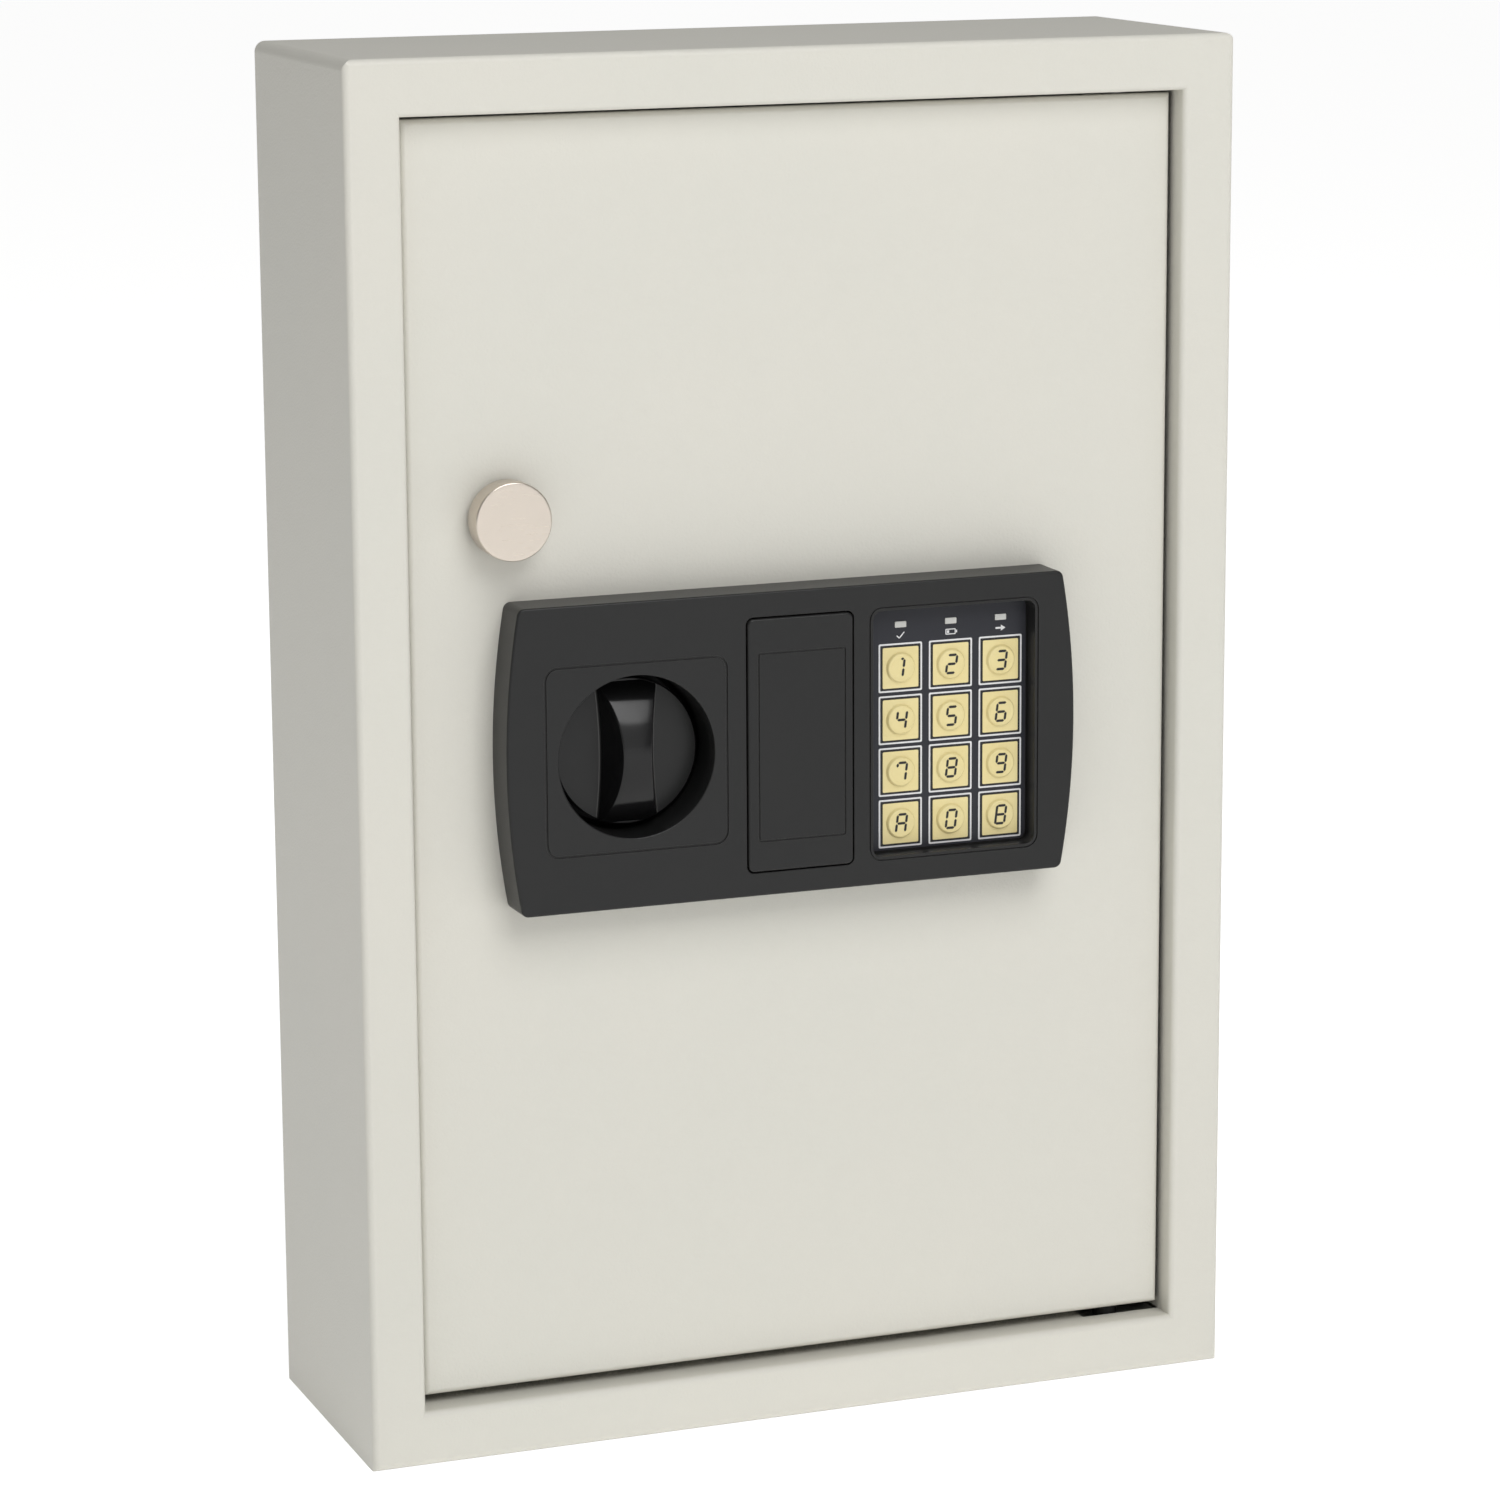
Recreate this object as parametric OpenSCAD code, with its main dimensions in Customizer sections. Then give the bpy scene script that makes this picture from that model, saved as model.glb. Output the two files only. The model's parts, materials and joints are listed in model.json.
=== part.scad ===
// Wall-mounted electronic key cabinet: a folded steel box with an inset, hinged door, a moulded
// lock panel with keypad and turn knob, two round locking bolts and six rows of key hooks.
// X is across the front, Y runs from the front to the wall, Z is up.
// The origin is the centre of the underside.

/* [Cabinet] */
// Width of the box
cabinet_w = 300; // [280:1:360]
// Depth of the box, front frame to wall
cabinet_d = 100; // [100:1:140]
// Height of the box
cabinet_h = 450; // [450:1:600]
// Thickness of the body sheet
sheet = 1.2; // [1:0.1:1.5]
// Width of the front frame
frame_w = 18; // [18:1:30]
// How far the frame turns back into the doorway
lip_depth = 20; // [18:0.5:20]
// Outside radius of the sheet's bends
bend_r = 2; // [1.8:0.1:2.4]

/* [Door] */
// Thickness of the door sheet
door_sheet = 1.5; // [1.2:0.1:1.8]
// How far the door face lies behind the frame face
door_inset = 7; // [6.8:0.1:7.2]
// Depth of the door's turned-back edges
door_edge = 16; // [14:0.5:16]
// Gap at the door's sides
side_gap = 1.5; // [1.4:0.1:1.8]
// Gap above the door
top_gap = 1; // [1:0.1:2]
// Gap below the door
bottom_gap = 3; // [3:0.1:4]
// Diameter of the pull knob
pull_d = 25; // [20:1:30]

/* [Lock panel] */
// Height of the panel
panel_h = 99; // [98:0.5:102]
// Width of the panel at its middle
panel_w = 195; // [193:0.5:198]
// How far each side bows out
panel_bow = 4.5; // [3:0.25:6]
// Thickness of the panel, from the door face
panel_t = 14.5; // [14:0.25:16]
// Radius of the round well that holds the turn knob
well_r = 26.2; // [25.8:0.1:27]
// Throw of the locking bolts
bolt_throw = 12; // [10:0.5:12]

/* [Keypad] */
// Width of one key
key_w = 12.5; // [11:0.5:13]
// Height of one key
key_h = 13.4; // [11:0.5:14]
// Distance between key columns
key_pitch_x = 17.6; // [17.4:0.1:17.8]
// Distance between key rows
key_pitch_z = 17.15; // [17:0.05:17.3]
// Travel of one key
key_travel = 0.5; // [0.3:0.1:0.5]

/* [Key racks] */
// Hooks on one rack
hooks = 8; // [6:1:8]
// Distance between hooks
hook_pitch = 30; // [26:1:30]
// Distance between racks
rack_pitch = 62; // [56:1:62]
// Reach of a hook from its rack
hook_reach = 20; // [16:1:20]

/* [Wall fixing] */
// Distance between wall holes across the back
wall_hole_x = 200; // [160:5:200]
// Distance between wall holes up the back
wall_hole_z = 350; // [345:5:350]
// Diameter of a wall hole
wall_hole_d = 8.5; // [6:0.5:10]

/* [Hidden] */
$fn = 64;
front = -cabinet_d / 2;
back = cabinet_d / 2;
open_x = cabinet_w / 2 - frame_w;
fold_r = 1.75 * bend_r;
door_face = front + door_inset;
door_inner = door_face + door_sheet;
door_back = door_face + door_edge;
door_w = 2 * (open_x - side_gap);
door_bottom = frame_w + bottom_gap;
door_top = cabinet_h - frame_w - top_gap;
door_h = door_top - door_bottom;

// Hinge line
hinge_x = open_x - 18;
hinge_y = front + 14;
pin_r = 2.5;
run_fit = 0.06;
notch_x = open_x - 28;
notch_y = hinge_y - 4.5;
bracket_t = 2.5;

// Lock panel, centred on panel_x, panel_z
panel_x = -6.3;
panel_z = door_bottom + 208.5;
panel_front = door_face - panel_t;
wall = 2.5;
bow_r = (pow(panel_h / 2, 2) + pow(panel_bow, 2)) / (2 * panel_bow);
knob_x = -60.5;
knob_z = panel_z - 0.5;
well_floor = front + 15;
well_back = well_floor + 2;
shaft_r = 4;
disc_r = well_r - 2.4;
disc_front = panel_front + 10.5;

// Pull-off cover over the override lock
cover_x = -4.95;
cover_z = panel_z - 0.25;
cover_w = 36.1;
cover_h = 82.5;
cover_gap = 0.4;
pocket_floor = panel_front + 7.5;
override_x = cover_x;
override_z = knob_z;

// Keypad recess
pad_x = 48.6;
pad_z = panel_z + 0.1;
pad_w = 56.8;
pad_h = 80.8;
pad_floor = panel_front + 7.1;
film_t = 0.6;
keys_x = 49.9;
keys_z = 224.15;
led_z = 264;
led_w = 4;
led_h = 2;

// Lock works behind the door
tray_y = door_inner + 9.5;
tray_t = 1.5;
tray_back = tray_y + tray_t;
tray_x0 = -108;
tray_x1 = 98;
cover_x0 = -113;
cover_x1 = 103;
works_back = door_inner + 36.5;
cover_sheet = 1.2;
plate_y = tray_back + 3.5;
plate_t = 3;
plate_x0 = -99;
plate_x1 = -12;
plate_z0 = 195;
plate_z1 = 264;
plate_step_x = -50;
plate_step_z = 215;
bolt_r = 5;
bolt_y = front + 35;
bolt_zs = [panel_z - 29.5, panel_z + 29.5];
bolt_tip = -129;
crank_r = bolt_throw / sqrt(2);
crank_pin_r = 2;
stud_places = [[-88, 206], [-88, 252], [-40, 252]];
stud_r = 3;
plunger_x = -32;
plunger_y = plate_y + plate_t / 2;
plunger_r = 2.2;
plunger_travel = 5;
coil_z0 = 196;
coil_z1 = 210;

// Battery compartment
bay_x = 57;
bay_w = 62;
bay_z0 = 200;
bay_z1 = 258;
cell_r = 7.15;
cell_l = 50.5;
cells = 4;
button_place = [10, 240];

// Inside the cabinet
rail_x = 120;
rail_t = 3;
rack_t = 2;
rack_h = 18;
rack_w = 256;
rack_count = 6;
rack_z0 = 75;
hook_r = 1.5;
stop_zs = [80, cabinet_h - 80];

sand = [0.85, 0.84, 0.80];
charcoal = [0.23, 0.23, 0.23];
steel = [0.62, 0.63, 0.65];
zinc = [0.72, 0.71, 0.66];

// ---- shared shapes ----

// A cylinder along Y, from y0 to y1
module rod_y(r, y0, y1) {
  translate([0, y0, 0]) rotate([-90, 0, 0]) cylinder(h = y1 - y0, r = r);
}

// A front-view outline, drawn in X and Z, given thickness from y0 to y1
module slab(y0, y1) {
  translate([0, y1, 0]) rotate([90, 0, 0]) linear_extrude(y1 - y0) children();
}

// A rectangle with round corners, centred
module round_rect(w, h, r) {
  square([w - 2 * r, h], center = true);
  square([w, h - 2 * r], center = true);
  for (sx = [-1, 1], sz = [-1, 1]) translate([sx * (w / 2 - r), sz * (h / 2 - r)]) circle(r);
}

// A plan outline with its two front corners rounded
module front_rounded(w, d, r) {
  translate([-w / 2, r]) square([w, d - r]);
  translate([-w / 2 + r, 0]) square([w - 2 * r, d]);
  for (s = [-1, 1]) translate([s * (w / 2 - r), r]) circle(r);
}

// A block whose front edges are all rounded, standing on z = 0 with its front at y = 0
module soft_block(w, d, h, r) {
  intersection() {
    linear_extrude(h) front_rounded(w, d, r);
    translate([-w / 2, 0, h / 2]) rotate([0, 90, 0]) linear_extrude(w) front_rounded(h, d, r);
  }
}

// A front-view outline standing on z = 0 with its two top corners rounded
module top_rounded(w, h, r) {
  translate([0, h]) mirror([0, 1]) front_rounded(w, h, r);
}

// ---- cabinet ----

// Section of the doorway lip: a quarter bend, then a straight return
module lip_section() {
  intersection() {
    translate([0, bend_r]) difference() {
      circle(bend_r);
      circle(bend_r - sheet);
    }
    square([bend_r, bend_r]);
  }
  translate([bend_r - sheet, bend_r]) square([sheet, lip_depth - bend_r]);
}

// The lips meet in 45 degree mitres, welded shut
module side_lip() {
  z0 = frame_w - bend_r;
  z1 = cabinet_h - frame_w;
  intersection() {
    translate([-open_x - bend_r, front, z0]) linear_extrude(cabinet_h - 2 * z0) lip_section();
    slab(front - 1, front + lip_depth + 1) polygon([[-open_x + 5, frame_w + 5],
      [-open_x - 5, frame_w - 5], [-open_x - 5, z1 + 5], [-open_x + 5, z1 - 5]]);
  }
}

// The bottom lip is cut away under the hinge
module end_lip() {
  x1 = open_x + bend_r;
  difference() {
    intersection() {
      translate([x1, front, frame_w - bend_r]) rotate([0, -90, 0]) linear_extrude(2 * x1) lip_section();
      slab(front - 1, front + lip_depth + 1) polygon([[-open_x - 5, frame_w - 5],
        [open_x + 5, frame_w - 5], [open_x - 5, frame_w + 5], [-open_x + 5, frame_w + 5]]);
    }
    translate([notch_x, notch_y, frame_w - 2 * bend_r])
      cube([open_x + bend_r - notch_x, lip_depth, 3 * bend_r]);
  }
}

// The top and the sides are one sheet, folded over with a wider radius than the front frame
module cabinet_shell() {
  hole_w = 2 * (open_x + bend_r);
  hole_h = cabinet_h - 2 * frame_w + 2 * bend_r;
  inner_w = cabinet_w - 2 * sheet;
  inner_h = cabinet_h - 2 * sheet;
  color(sand) union() {
    difference() {
      intersection() {
        translate([0, front, 0]) soft_block(cabinet_w, cabinet_d, cabinet_h, bend_r);
        slab(front - 1, back + 1) top_rounded(cabinet_w, cabinet_h, fold_r);
      }
      intersection() {
        translate([0, front + sheet, sheet]) soft_block(inner_w, cabinet_d, inner_h, bend_r - sheet);
        translate([0, 0, sheet]) slab(front, back + 3) top_rounded(inner_w, inner_h, fold_r - sheet);
      }
      translate([-hole_w / 2, front - 1, frame_w - bend_r]) cube([hole_w, 3, hole_h]);
    }
    side_lip();
    mirror([1, 0, 0]) side_lip();
    end_lip();
    translate([0, 0, cabinet_h]) mirror([0, 0, 1]) end_lip();
  }
}

module back_panel() {
  w = cabinet_w - 2 * sheet;
  h = cabinet_h - 2 * sheet;
  color(sand) difference() {
    translate([0, 0, sheet]) slab(back - sheet, back) top_rounded(w, h, fold_r - sheet);
    for (sx = [-1, 1], sz = [-1, 1])
      translate([sx * wall_hole_x / 2, 0, cabinet_h / 2 + sz * wall_hole_z / 2])
        rod_y(wall_hole_d / 2, back - 3, back + 1);
  }
}

// One bracket below the doorway; the other is its mirror image
module hinge_bracket() {
  z0 = frame_w - sheet - bracket_t;
  difference() {
    translate([notch_x - 8, front + bend_r, z0]) cube([36, 25, bracket_t]);
    translate([hinge_x, hinge_y, z0 - 1]) cylinder(h = bracket_t + 2, r = pin_r + run_fit);
  }
}

module hinge_brackets() {
  color(steel) {
    hinge_bracket();
    translate([0, 0, cabinet_h]) mirror([0, 0, 1]) hinge_bracket();
  }
}

module hinge_washer() {
  z0 = frame_w - sheet;
  color([0.1, 0.1, 0.1]) translate([hinge_x, hinge_y, z0]) difference() {
    cylinder(h = door_bottom - z0 - 0.3, r = 4);
    translate([0, 0, -1]) cylinder(h = 10, r = pin_r + run_fit);
  }
}

module bolt_keeper() {
  x1 = -open_x - sheet;
  color(steel) difference() {
    translate([x1 - 2, front + 4, panel_z - 48]) cube([2, 44, 96]);
    for (z = bolt_zs)
      translate([x1 - 3, bolt_y, z]) rotate([0, 90, 0]) cylinder(h = 4, r = bolt_r + 1);
  }
}

module door_stops() {
  x0 = -open_x - sheet;
  color(sand) for (z = stop_zs) {
    translate([x0 - 1.5, front + 10, z - 10]) cube([1.5, 18, 20]);
    translate([x0 - 1.5, door_back + 3, z - 10]) cube([11, 1.5, 20]);
  }
}

module stop_bumpers() {
  color([0.1, 0.1, 0.1]) for (z = stop_zs)
    translate([-open_x + 4, 0, z]) rod_y(4, door_back + 0.5, door_back + 3);
}

module rack_rails() {
  color(steel) for (s = [-1, 1])
    translate([s * rail_x - 6, back - sheet - rail_t, 30]) cube([12, rail_t, cabinet_h - 60]);
}

rack_front = back - sheet - rail_t - rack_t;

module key_rack(i) {
  z = rack_z0 + i * rack_pitch;
  color(steel) translate([0, 0, z]) {
    slab(rack_front, rack_front + rack_t) difference() {
      round_rect(rack_w, rack_h, 2);
      for (s = [-1, 1]) translate([s * rail_x, 4]) circle(1.6);
    }
    for (n = [0 : hooks - 1]) translate([(n - (hooks - 1) / 2) * hook_pitch, 0, 2]) {
      rod_y(hook_r, rack_front - hook_reach, rack_front);
      translate([0, rack_front - hook_reach, 0]) {
        sphere(r = hook_r);
        cylinder(h = 4, r = hook_r);
        translate([0, 0, 4]) sphere(r = hook_r);
      }
    }
  }
}

module rack_screws() {
  color(zinc) for (i = [0 : rack_count - 1], s = [-1, 1])
    translate([s * rail_x, 0, rack_z0 + i * rack_pitch + 4]) {
      rod_y(1.5, rack_front, rack_front + rack_t);
      rod_y(3, rack_front - 1.6, rack_front);
    }
}

module number_strips() {
  color("white") for (i = [0 : rack_count - 1])
    translate([0, 0, rack_z0 + i * rack_pitch - 4.5])
      slab(rack_front - 0.5, rack_front) round_rect(226, 7, 0.5);
}

// ---- door ----

module door_panel() {
  color(sand) difference() {
    translate([0, door_face, door_bottom]) soft_block(door_w, door_edge, door_h, bend_r);
    translate([0, door_inner, door_bottom + door_sheet])
      soft_block(door_w - 2 * door_sheet, door_edge, door_h - 2 * door_sheet, bend_r - door_sheet);
    translate([hinge_x, hinge_y, 0]) cylinder(h = cabinet_h, r = pin_r + 0.02);
    translate([knob_x, 0, knob_z]) rod_y(well_r + 3.3, front, door_back);
    translate([override_x, 0, override_z]) rod_y(9.8, front, door_back);
    translate([pad_x, 0, 200]) rod_y(7, front, door_back);
    translate([pull_x, 0, pull_z]) rod_y(2.6, front, door_back);
    for (p = panel_screw_places) translate([p[0], 0, p[1]]) rod_y(2.3, front, door_back);
  }
}

module hinge_pins() {
  color(zinc) for (z = [12, door_top - 7])
    translate([hinge_x, hinge_y, z]) cylinder(h = cabinet_h - door_top - 3, r = pin_r);
}

module hinge_blocks() {
  color(steel) for (z = [door_bottom + door_sheet, door_top - door_sheet - 12.5])
    translate([hinge_x - 10, door_inner + 0.4, z]) difference() {
      cube([19.5, 12, 12.5]);
      translate([10, hinge_y - door_inner - 0.4, -1]) cylinder(h = 15, r = pin_r + 0.02);
    }
}

pull_x = -99;
pull_z = door_bottom + 285;
pull_front = front - 4;

module pull_knob() {
  r = pull_d / 2;
  color([0.8, 0.78, 0.74]) translate([pull_x, door_face, pull_z]) rotate([90, 0, 0])
    difference() {
      rotate_extrude() polygon([[0, 0], [8, 0], [8, 2.5], [r - 0.4, 2.5], [r, 2.9],
        [r, door_face - pull_front - 0.6], [r - 0.6, door_face - pull_front], [0, door_face - pull_front]]);
      translate([0, 0, -1]) cylinder(h = 8, r = 2.5);
    }
}

module pull_knob_screw() {
  color(zinc) translate([pull_x, 0, pull_z]) {
    rod_y(2.5, door_face - 7, door_inner);
    rod_y(4.6, door_inner, door_inner + 2.8);
  }
}

// ---- lock panel ----

// Outline of the panel, drawn in by inset on all sides, with round corners
module panel_outline(inset) {
  r = 2.5;
  big = bow_r - inset;
  h = panel_h / 2 - inset;
  side = panel_w / 2 - bow_r;
  corner_x = side + sqrt(pow(big - r, 2) - pow(h - r, 2));
  tangent_z = (h - r) * big / (big - r);
  translate([panel_x, panel_z]) {
    square([2 * corner_x, 2 * h], center = true);
    for (sx = [-1, 1], sz = [-1, 1]) translate([sx * corner_x, sz * (h - r)]) circle(r);
    intersection() {
      square([panel_w, 2 * tangent_z], center = true);
      translate([side, 0]) circle(big, $fn = 360);
      translate([-side, 0]) circle(big, $fn = 360);
    }
  }
}

panel_screw_places = [for (x = [-93.5, 82.5], s = [-1, 1]) [x, panel_z + s * 42]];

module panel_housing() {
  color(charcoal) difference() {
    union() {
      difference() {
        slab(panel_front, door_face) panel_outline(0);
        slab(panel_front + wall, door_face + 1) panel_outline(wall);
      }
      translate([knob_x, 0, knob_z]) rod_y(well_r + wall, panel_front, well_back);
      slab(panel_front, pocket_floor + 1.5) translate([cover_x, cover_z])
        square([cover_w + 4, cover_h + 4], center = true);
      slab(panel_front, pad_floor + 1.5) translate([pad_x, pad_z])
        square([pad_w + 3, pad_h + 3], center = true);
      for (p = panel_screw_places) translate([p[0], 0, p[1]]) rod_y(4, panel_front + 1, door_face);
    }
    translate([knob_x, 0, knob_z]) {
      rod_y(well_r, panel_front - 1, well_floor);
      rod_y(shaft_r + run_fit, well_floor - 1, well_back + 1);
    }
    slab(panel_front - 1, pocket_floor) translate([cover_x, cover_z])
      round_rect(cover_w + 2 * cover_gap, cover_h + 2 * cover_gap, 2.4);
    translate([override_x, 0, override_z]) rod_y(9.3, panel_front, door_face);
    slab(panel_front - 1, pad_floor) translate([pad_x, pad_z]) round_rect(pad_w, pad_h, 3);
    for (p = panel_screw_places) translate([p[0], 0, p[1]]) rod_y(2.02, door_face - 8, door_face + 1);
  }
}

module panel_screws() {
  color(zinc) for (p = panel_screw_places) translate([p[0], 0, p[1]]) {
    rod_y(2, door_face - 7, door_inner);
    rod_y(3.8, door_inner, door_inner + 2.2);
  }
}

key_columns = [for (n = [-1 : 1]) keys_x + n * key_pitch_x];
key_rows = [for (n = [0 : 3]) keys_z + (1.5 - n) * key_pitch_z];

module keypad_film() {
  color([0.24, 0.25, 0.29]) slab(pad_floor - film_t, pad_floor) difference() {
    translate([pad_x, pad_z]) round_rect(pad_w - 1, pad_h - 1, 2.5);
    for (x = key_columns) {
      for (z = key_rows) translate([x, z]) round_rect(key_w + 0.6, key_h + 0.6, 0.6);
      translate([x, led_z]) square([led_w, led_h], center = true);
    }
  }
}

module led_windows() {
  color([0.85, 0.86, 0.84]) for (x = key_columns)
    slab(pad_floor - film_t - 0.3, pad_floor) translate([x, led_z]) square([led_w, led_h], center = true);
}

key_face = pad_floor - film_t - 0.8;

// One key: a square pad with a low round dome
module key_pad(index) {
  x = key_columns[index % 3];
  z = key_rows[floor(index / 3)];
  color([0.89, 0.81, 0.55]) translate([x, 0, z]) {
    slab(key_face, pad_floor - 0.8) round_rect(key_w, key_h, 0.4);
    rod_y(4.75, key_face - 0.4, key_face + 0.1);
  }
}

module circuit_board() {
  color([0.1, 0.35, 0.2]) slab(pad_floor + 2, pad_floor + 3.6)
    translate([pad_x, pad_z]) square([pad_w, pad_h + 4], center = true);
}

module override_lock_body() {
  color([0.75, 0.72, 0.66]) translate([override_x, 0, override_z]) difference() {
    union() {
      rod_y(10.5, pocket_floor - 1.5, pocket_floor);
      rod_y(9, pocket_floor - 0.5, tray_y - 1);
    }
    rod_y(6 + run_fit, pocket_floor - 2, tray_y);
  }
}

module override_plug() {
  key_slot = [1.4, 3, 7.5];
  color([0.78, 0.74, 0.62]) translate([override_x, 0, override_z]) difference() {
    union() {
      rod_y(6, pocket_floor - 2, tray_y - 2);
      rod_y(3, tray_y - 3, tray_back + 1.5);
    }
    translate([-key_slot[0] / 2, pocket_floor - 3, -key_slot[2] / 2]) cube(key_slot);
  }
}

// Press-on cover with a fine groove round the middle of its face and two clip legs behind
module override_cover() {
  face = panel_front - 0.5;
  color(charcoal) union() {
    difference() {
      slab(face, face + 2.5) translate([cover_x, cover_z]) round_rect(cover_w, cover_h, 2);
      slab(face - 1, face + 0.5) translate([cover_x + 0.35, cover_z - 0.6]) difference() {
        round_rect(30.2, 61.7, 1);
        round_rect(29.1, 60.6, 0.5);
      }
    }
    for (s = [-1, 1]) translate([cover_x, face + 3.5, cover_z + s * (cover_h / 2 - 2)])
      cube([10, 5, 1.6], center = true);
  }
}

// Arched grip seen from the side: first axis along the grip, second axis towards the front
module grip_side(height) {
  arch_r = 30.6;
  intersection() {
    translate([0, height - arch_r]) circle(arch_r, $fn = 180);
    polygon([[-23, 0], [23, 0], [12.7, height + 1], [-12.7, height + 1]]);
  }
}

// The grip's flank on one side: a large leaning cylinder that is taken away
module grip_flank(side, height) {
  crest = 4.7;
  foot = 8.8;
  flank_r = 172;
  translate([side * crest, disc_front - height, 0])
    rotate([0, 0, -side * atan((foot - crest) / height)])
      translate([side * flank_r, 0, 0]) rod_y(flank_r, -10, 30, $fn = 360);
}

module grip() {
  height = disc_front - panel_front + 1;
  difference() {
    intersection() {
      translate([-15, disc_front, 0]) rotate([0, 90, 0]) linear_extrude(30) mirror([0, 1]) grip_side(height);
      rod_y(disc_r, disc_front - height - 2, disc_front + 1);
    }
    for (side = [-1, 1]) grip_flank(side, height);
  }
}

module turn_knob() {
  disc_back = disc_front + 4;
  color([0.12, 0.12, 0.12]) translate([knob_x, 0, knob_z]) difference() {
    union() {
      rod_y(disc_r, disc_front, disc_back);
      rod_y(9, disc_back, well_floor - 1);
      grip();
    }
    rod_y(shaft_r + 0.02, well_floor - 7.02, well_floor);
  }
}

module knob_shaft() {
  color(steel) translate([knob_x, 0, knob_z]) rod_y(shaft_r, well_floor - 7, plate_y + plate_t + 7);
}

// Crank disc behind the bolt plate; its pin reaches forward through the plate's upright slot
module knob_crank() {
  y0 = plate_y + plate_t + 2;
  color(zinc) translate([knob_x, 0, knob_z]) difference() {
    union() {
      rod_y(crank_r + 3, y0, y0 + 3);
      translate([bolt_throw / 2, 0, -bolt_throw / 2]) rod_y(crank_pin_r, plate_y - 1, y0 + 1);
    }
    rod_y(shaft_r + 0.02, y0 - 1, y0 + 4);
  }
}

// ---- lock works ----

module lock_tray() {
  z0 = panel_z - 47.5;
  h = 95;
  color(steel) difference() {
    union() {
      translate([tray_x0, tray_y, z0]) cube([tray_x1 - tray_x0, tray_t, h]);
      for (z = [z0, z0 + h - tray_t])
        translate([tray_x0, door_inner, z]) cube([tray_x1 - tray_x0, tray_back - door_inner, tray_t]);
    }
    translate([knob_x, 0, knob_z]) rod_y(shaft_r + run_fit, door_inner, tray_back + 1);
    translate([override_x, 0, override_z]) rod_y(3.4, door_inner, tray_back + 1);
    translate([pad_x - 36, 0, 200]) rod_y(4, door_inner, tray_back + 1);
  }
}

// A slot along X, long enough for the bolt throw, round a stud standing at the origin
module plate_slot(r) {
  translate([0, -r]) square([bolt_throw, 2 * r]);
  circle(r);
  translate([bolt_throw, 0]) circle(r);
}

module bolt_plate() {
  tab_x0 = plate_x0;
  pin_slot = crank_pin_r + 0.5;
  notch_r = plunger_r + 0.8;
  color(zinc) union() {
    slab(plate_y, plate_y + plate_t) difference() {
      translate([plate_x0, plate_z0]) square([plate_x1 - plate_x0, plate_z1 - plate_z0]);
      translate([plate_step_x, plate_z0 - 1])
        square([plate_x1 - plate_step_x + 1, plate_step_z - plate_z0 + 1]);
      for (p = stud_places) translate(p) plate_slot(stud_r + 0.3);
      translate([knob_x, knob_z]) {
        plate_slot(shaft_r + 0.6);
        translate([bolt_throw / 2 - pin_slot, -crank_r - pin_slot])
          square([2 * pin_slot, crank_r + pin_slot]);
      }
      for (dx = [0, bolt_throw])
        translate([plunger_x + dx - notch_r, plate_step_z - 1]) square([2 * notch_r, 7]);
    }
    difference() {
      translate([tab_x0, plate_y, plate_z0 - 3]) cube([3, 18, plate_z1 - plate_z0 + 6]);
      for (z = bolt_zs)
        translate([tab_x0 - 1, bolt_y, z]) rotate([0, 90, 0]) cylinder(h = 5, r = 3.02);
    }
  }
}

module locking_bolts() {
  l = plate_x0 - bolt_tip;
  color(steel) for (z = bolt_zs) translate([bolt_tip, bolt_y, z]) rotate([0, 90, 0])
    rotate_extrude() polygon([[0, 0], [bolt_r - 1, 0], [bolt_r, 1], [bolt_r, l], [3, l], [3, l + 3],
      [4.4, l + 3], [4.4, l + 5], [0, l + 5]]);
}

module guide_studs() {
  color(zinc) for (p = stud_places) translate([p[0], 0, p[1]]) {
    rod_y(stud_r, tray_back, plate_y + plate_t + 0.4);
    rod_y(stud_r + 2.5, plate_y + plate_t + 0.4, plate_y + plate_t + 2);
  }
}

module solenoid_body() {
  color([0.55, 0.5, 0.3]) difference() {
    translate([plunger_x - 10, tray_back, coil_z0]) cube([20, 13, coil_z1 - coil_z0]);
    translate([plunger_x, plunger_y, coil_z0 - 1])
      cylinder(h = coil_z1 - coil_z0 + 2, r = plunger_r + run_fit);
  }
}

module solenoid_plunger() {
  bottom = coil_z0 - 11.6;
  color(steel) translate([plunger_x, plunger_y, bottom]) {
    cylinder(h = plate_step_z - 0.8 - bottom, r = plunger_r);
    translate([0, 0, 0.6]) cylinder(h = 0.8, r = 3.8);
  }
}

// Return spring: a helix swept by an eight-sided wire
spring_z0 = coil_z0 - 10.2;
spring_turns = 5;
spring_r = 3.1;
wire_r = 0.4;
spring_steps = 80;
function spring_ring(i) =
  let (a = 360 * spring_turns * i / spring_steps,
       rise = (coil_z0 - spring_z0 - 2 * wire_r) * i / spring_steps)
  [for (k = [0 : 7]) let (b = 45 * k, r = spring_r + wire_r * cos(b))
    [r * cos(a), r * sin(a), wire_r + rise + wire_r * sin(b)]];

module plunger_spring() {
  points = [for (i = [0 : spring_steps]) each spring_ring(i)];
  last = 8 * spring_steps;
  sides = [for (i = [0 : spring_steps - 1], k = [0 : 7])
    let (a = 8 * i + k, b = 8 * i + (k + 1) % 8) [a, a + 8, b + 8, b]];
  caps = [[for (k = [0 : 7]) k], [for (k = [7 : -1 : 0]) last + k]];
  color(steel) translate([plunger_x, plunger_y, spring_z0])
    polyhedron(points = points, faces = concat(sides, caps), convexity = 6);
}

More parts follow.
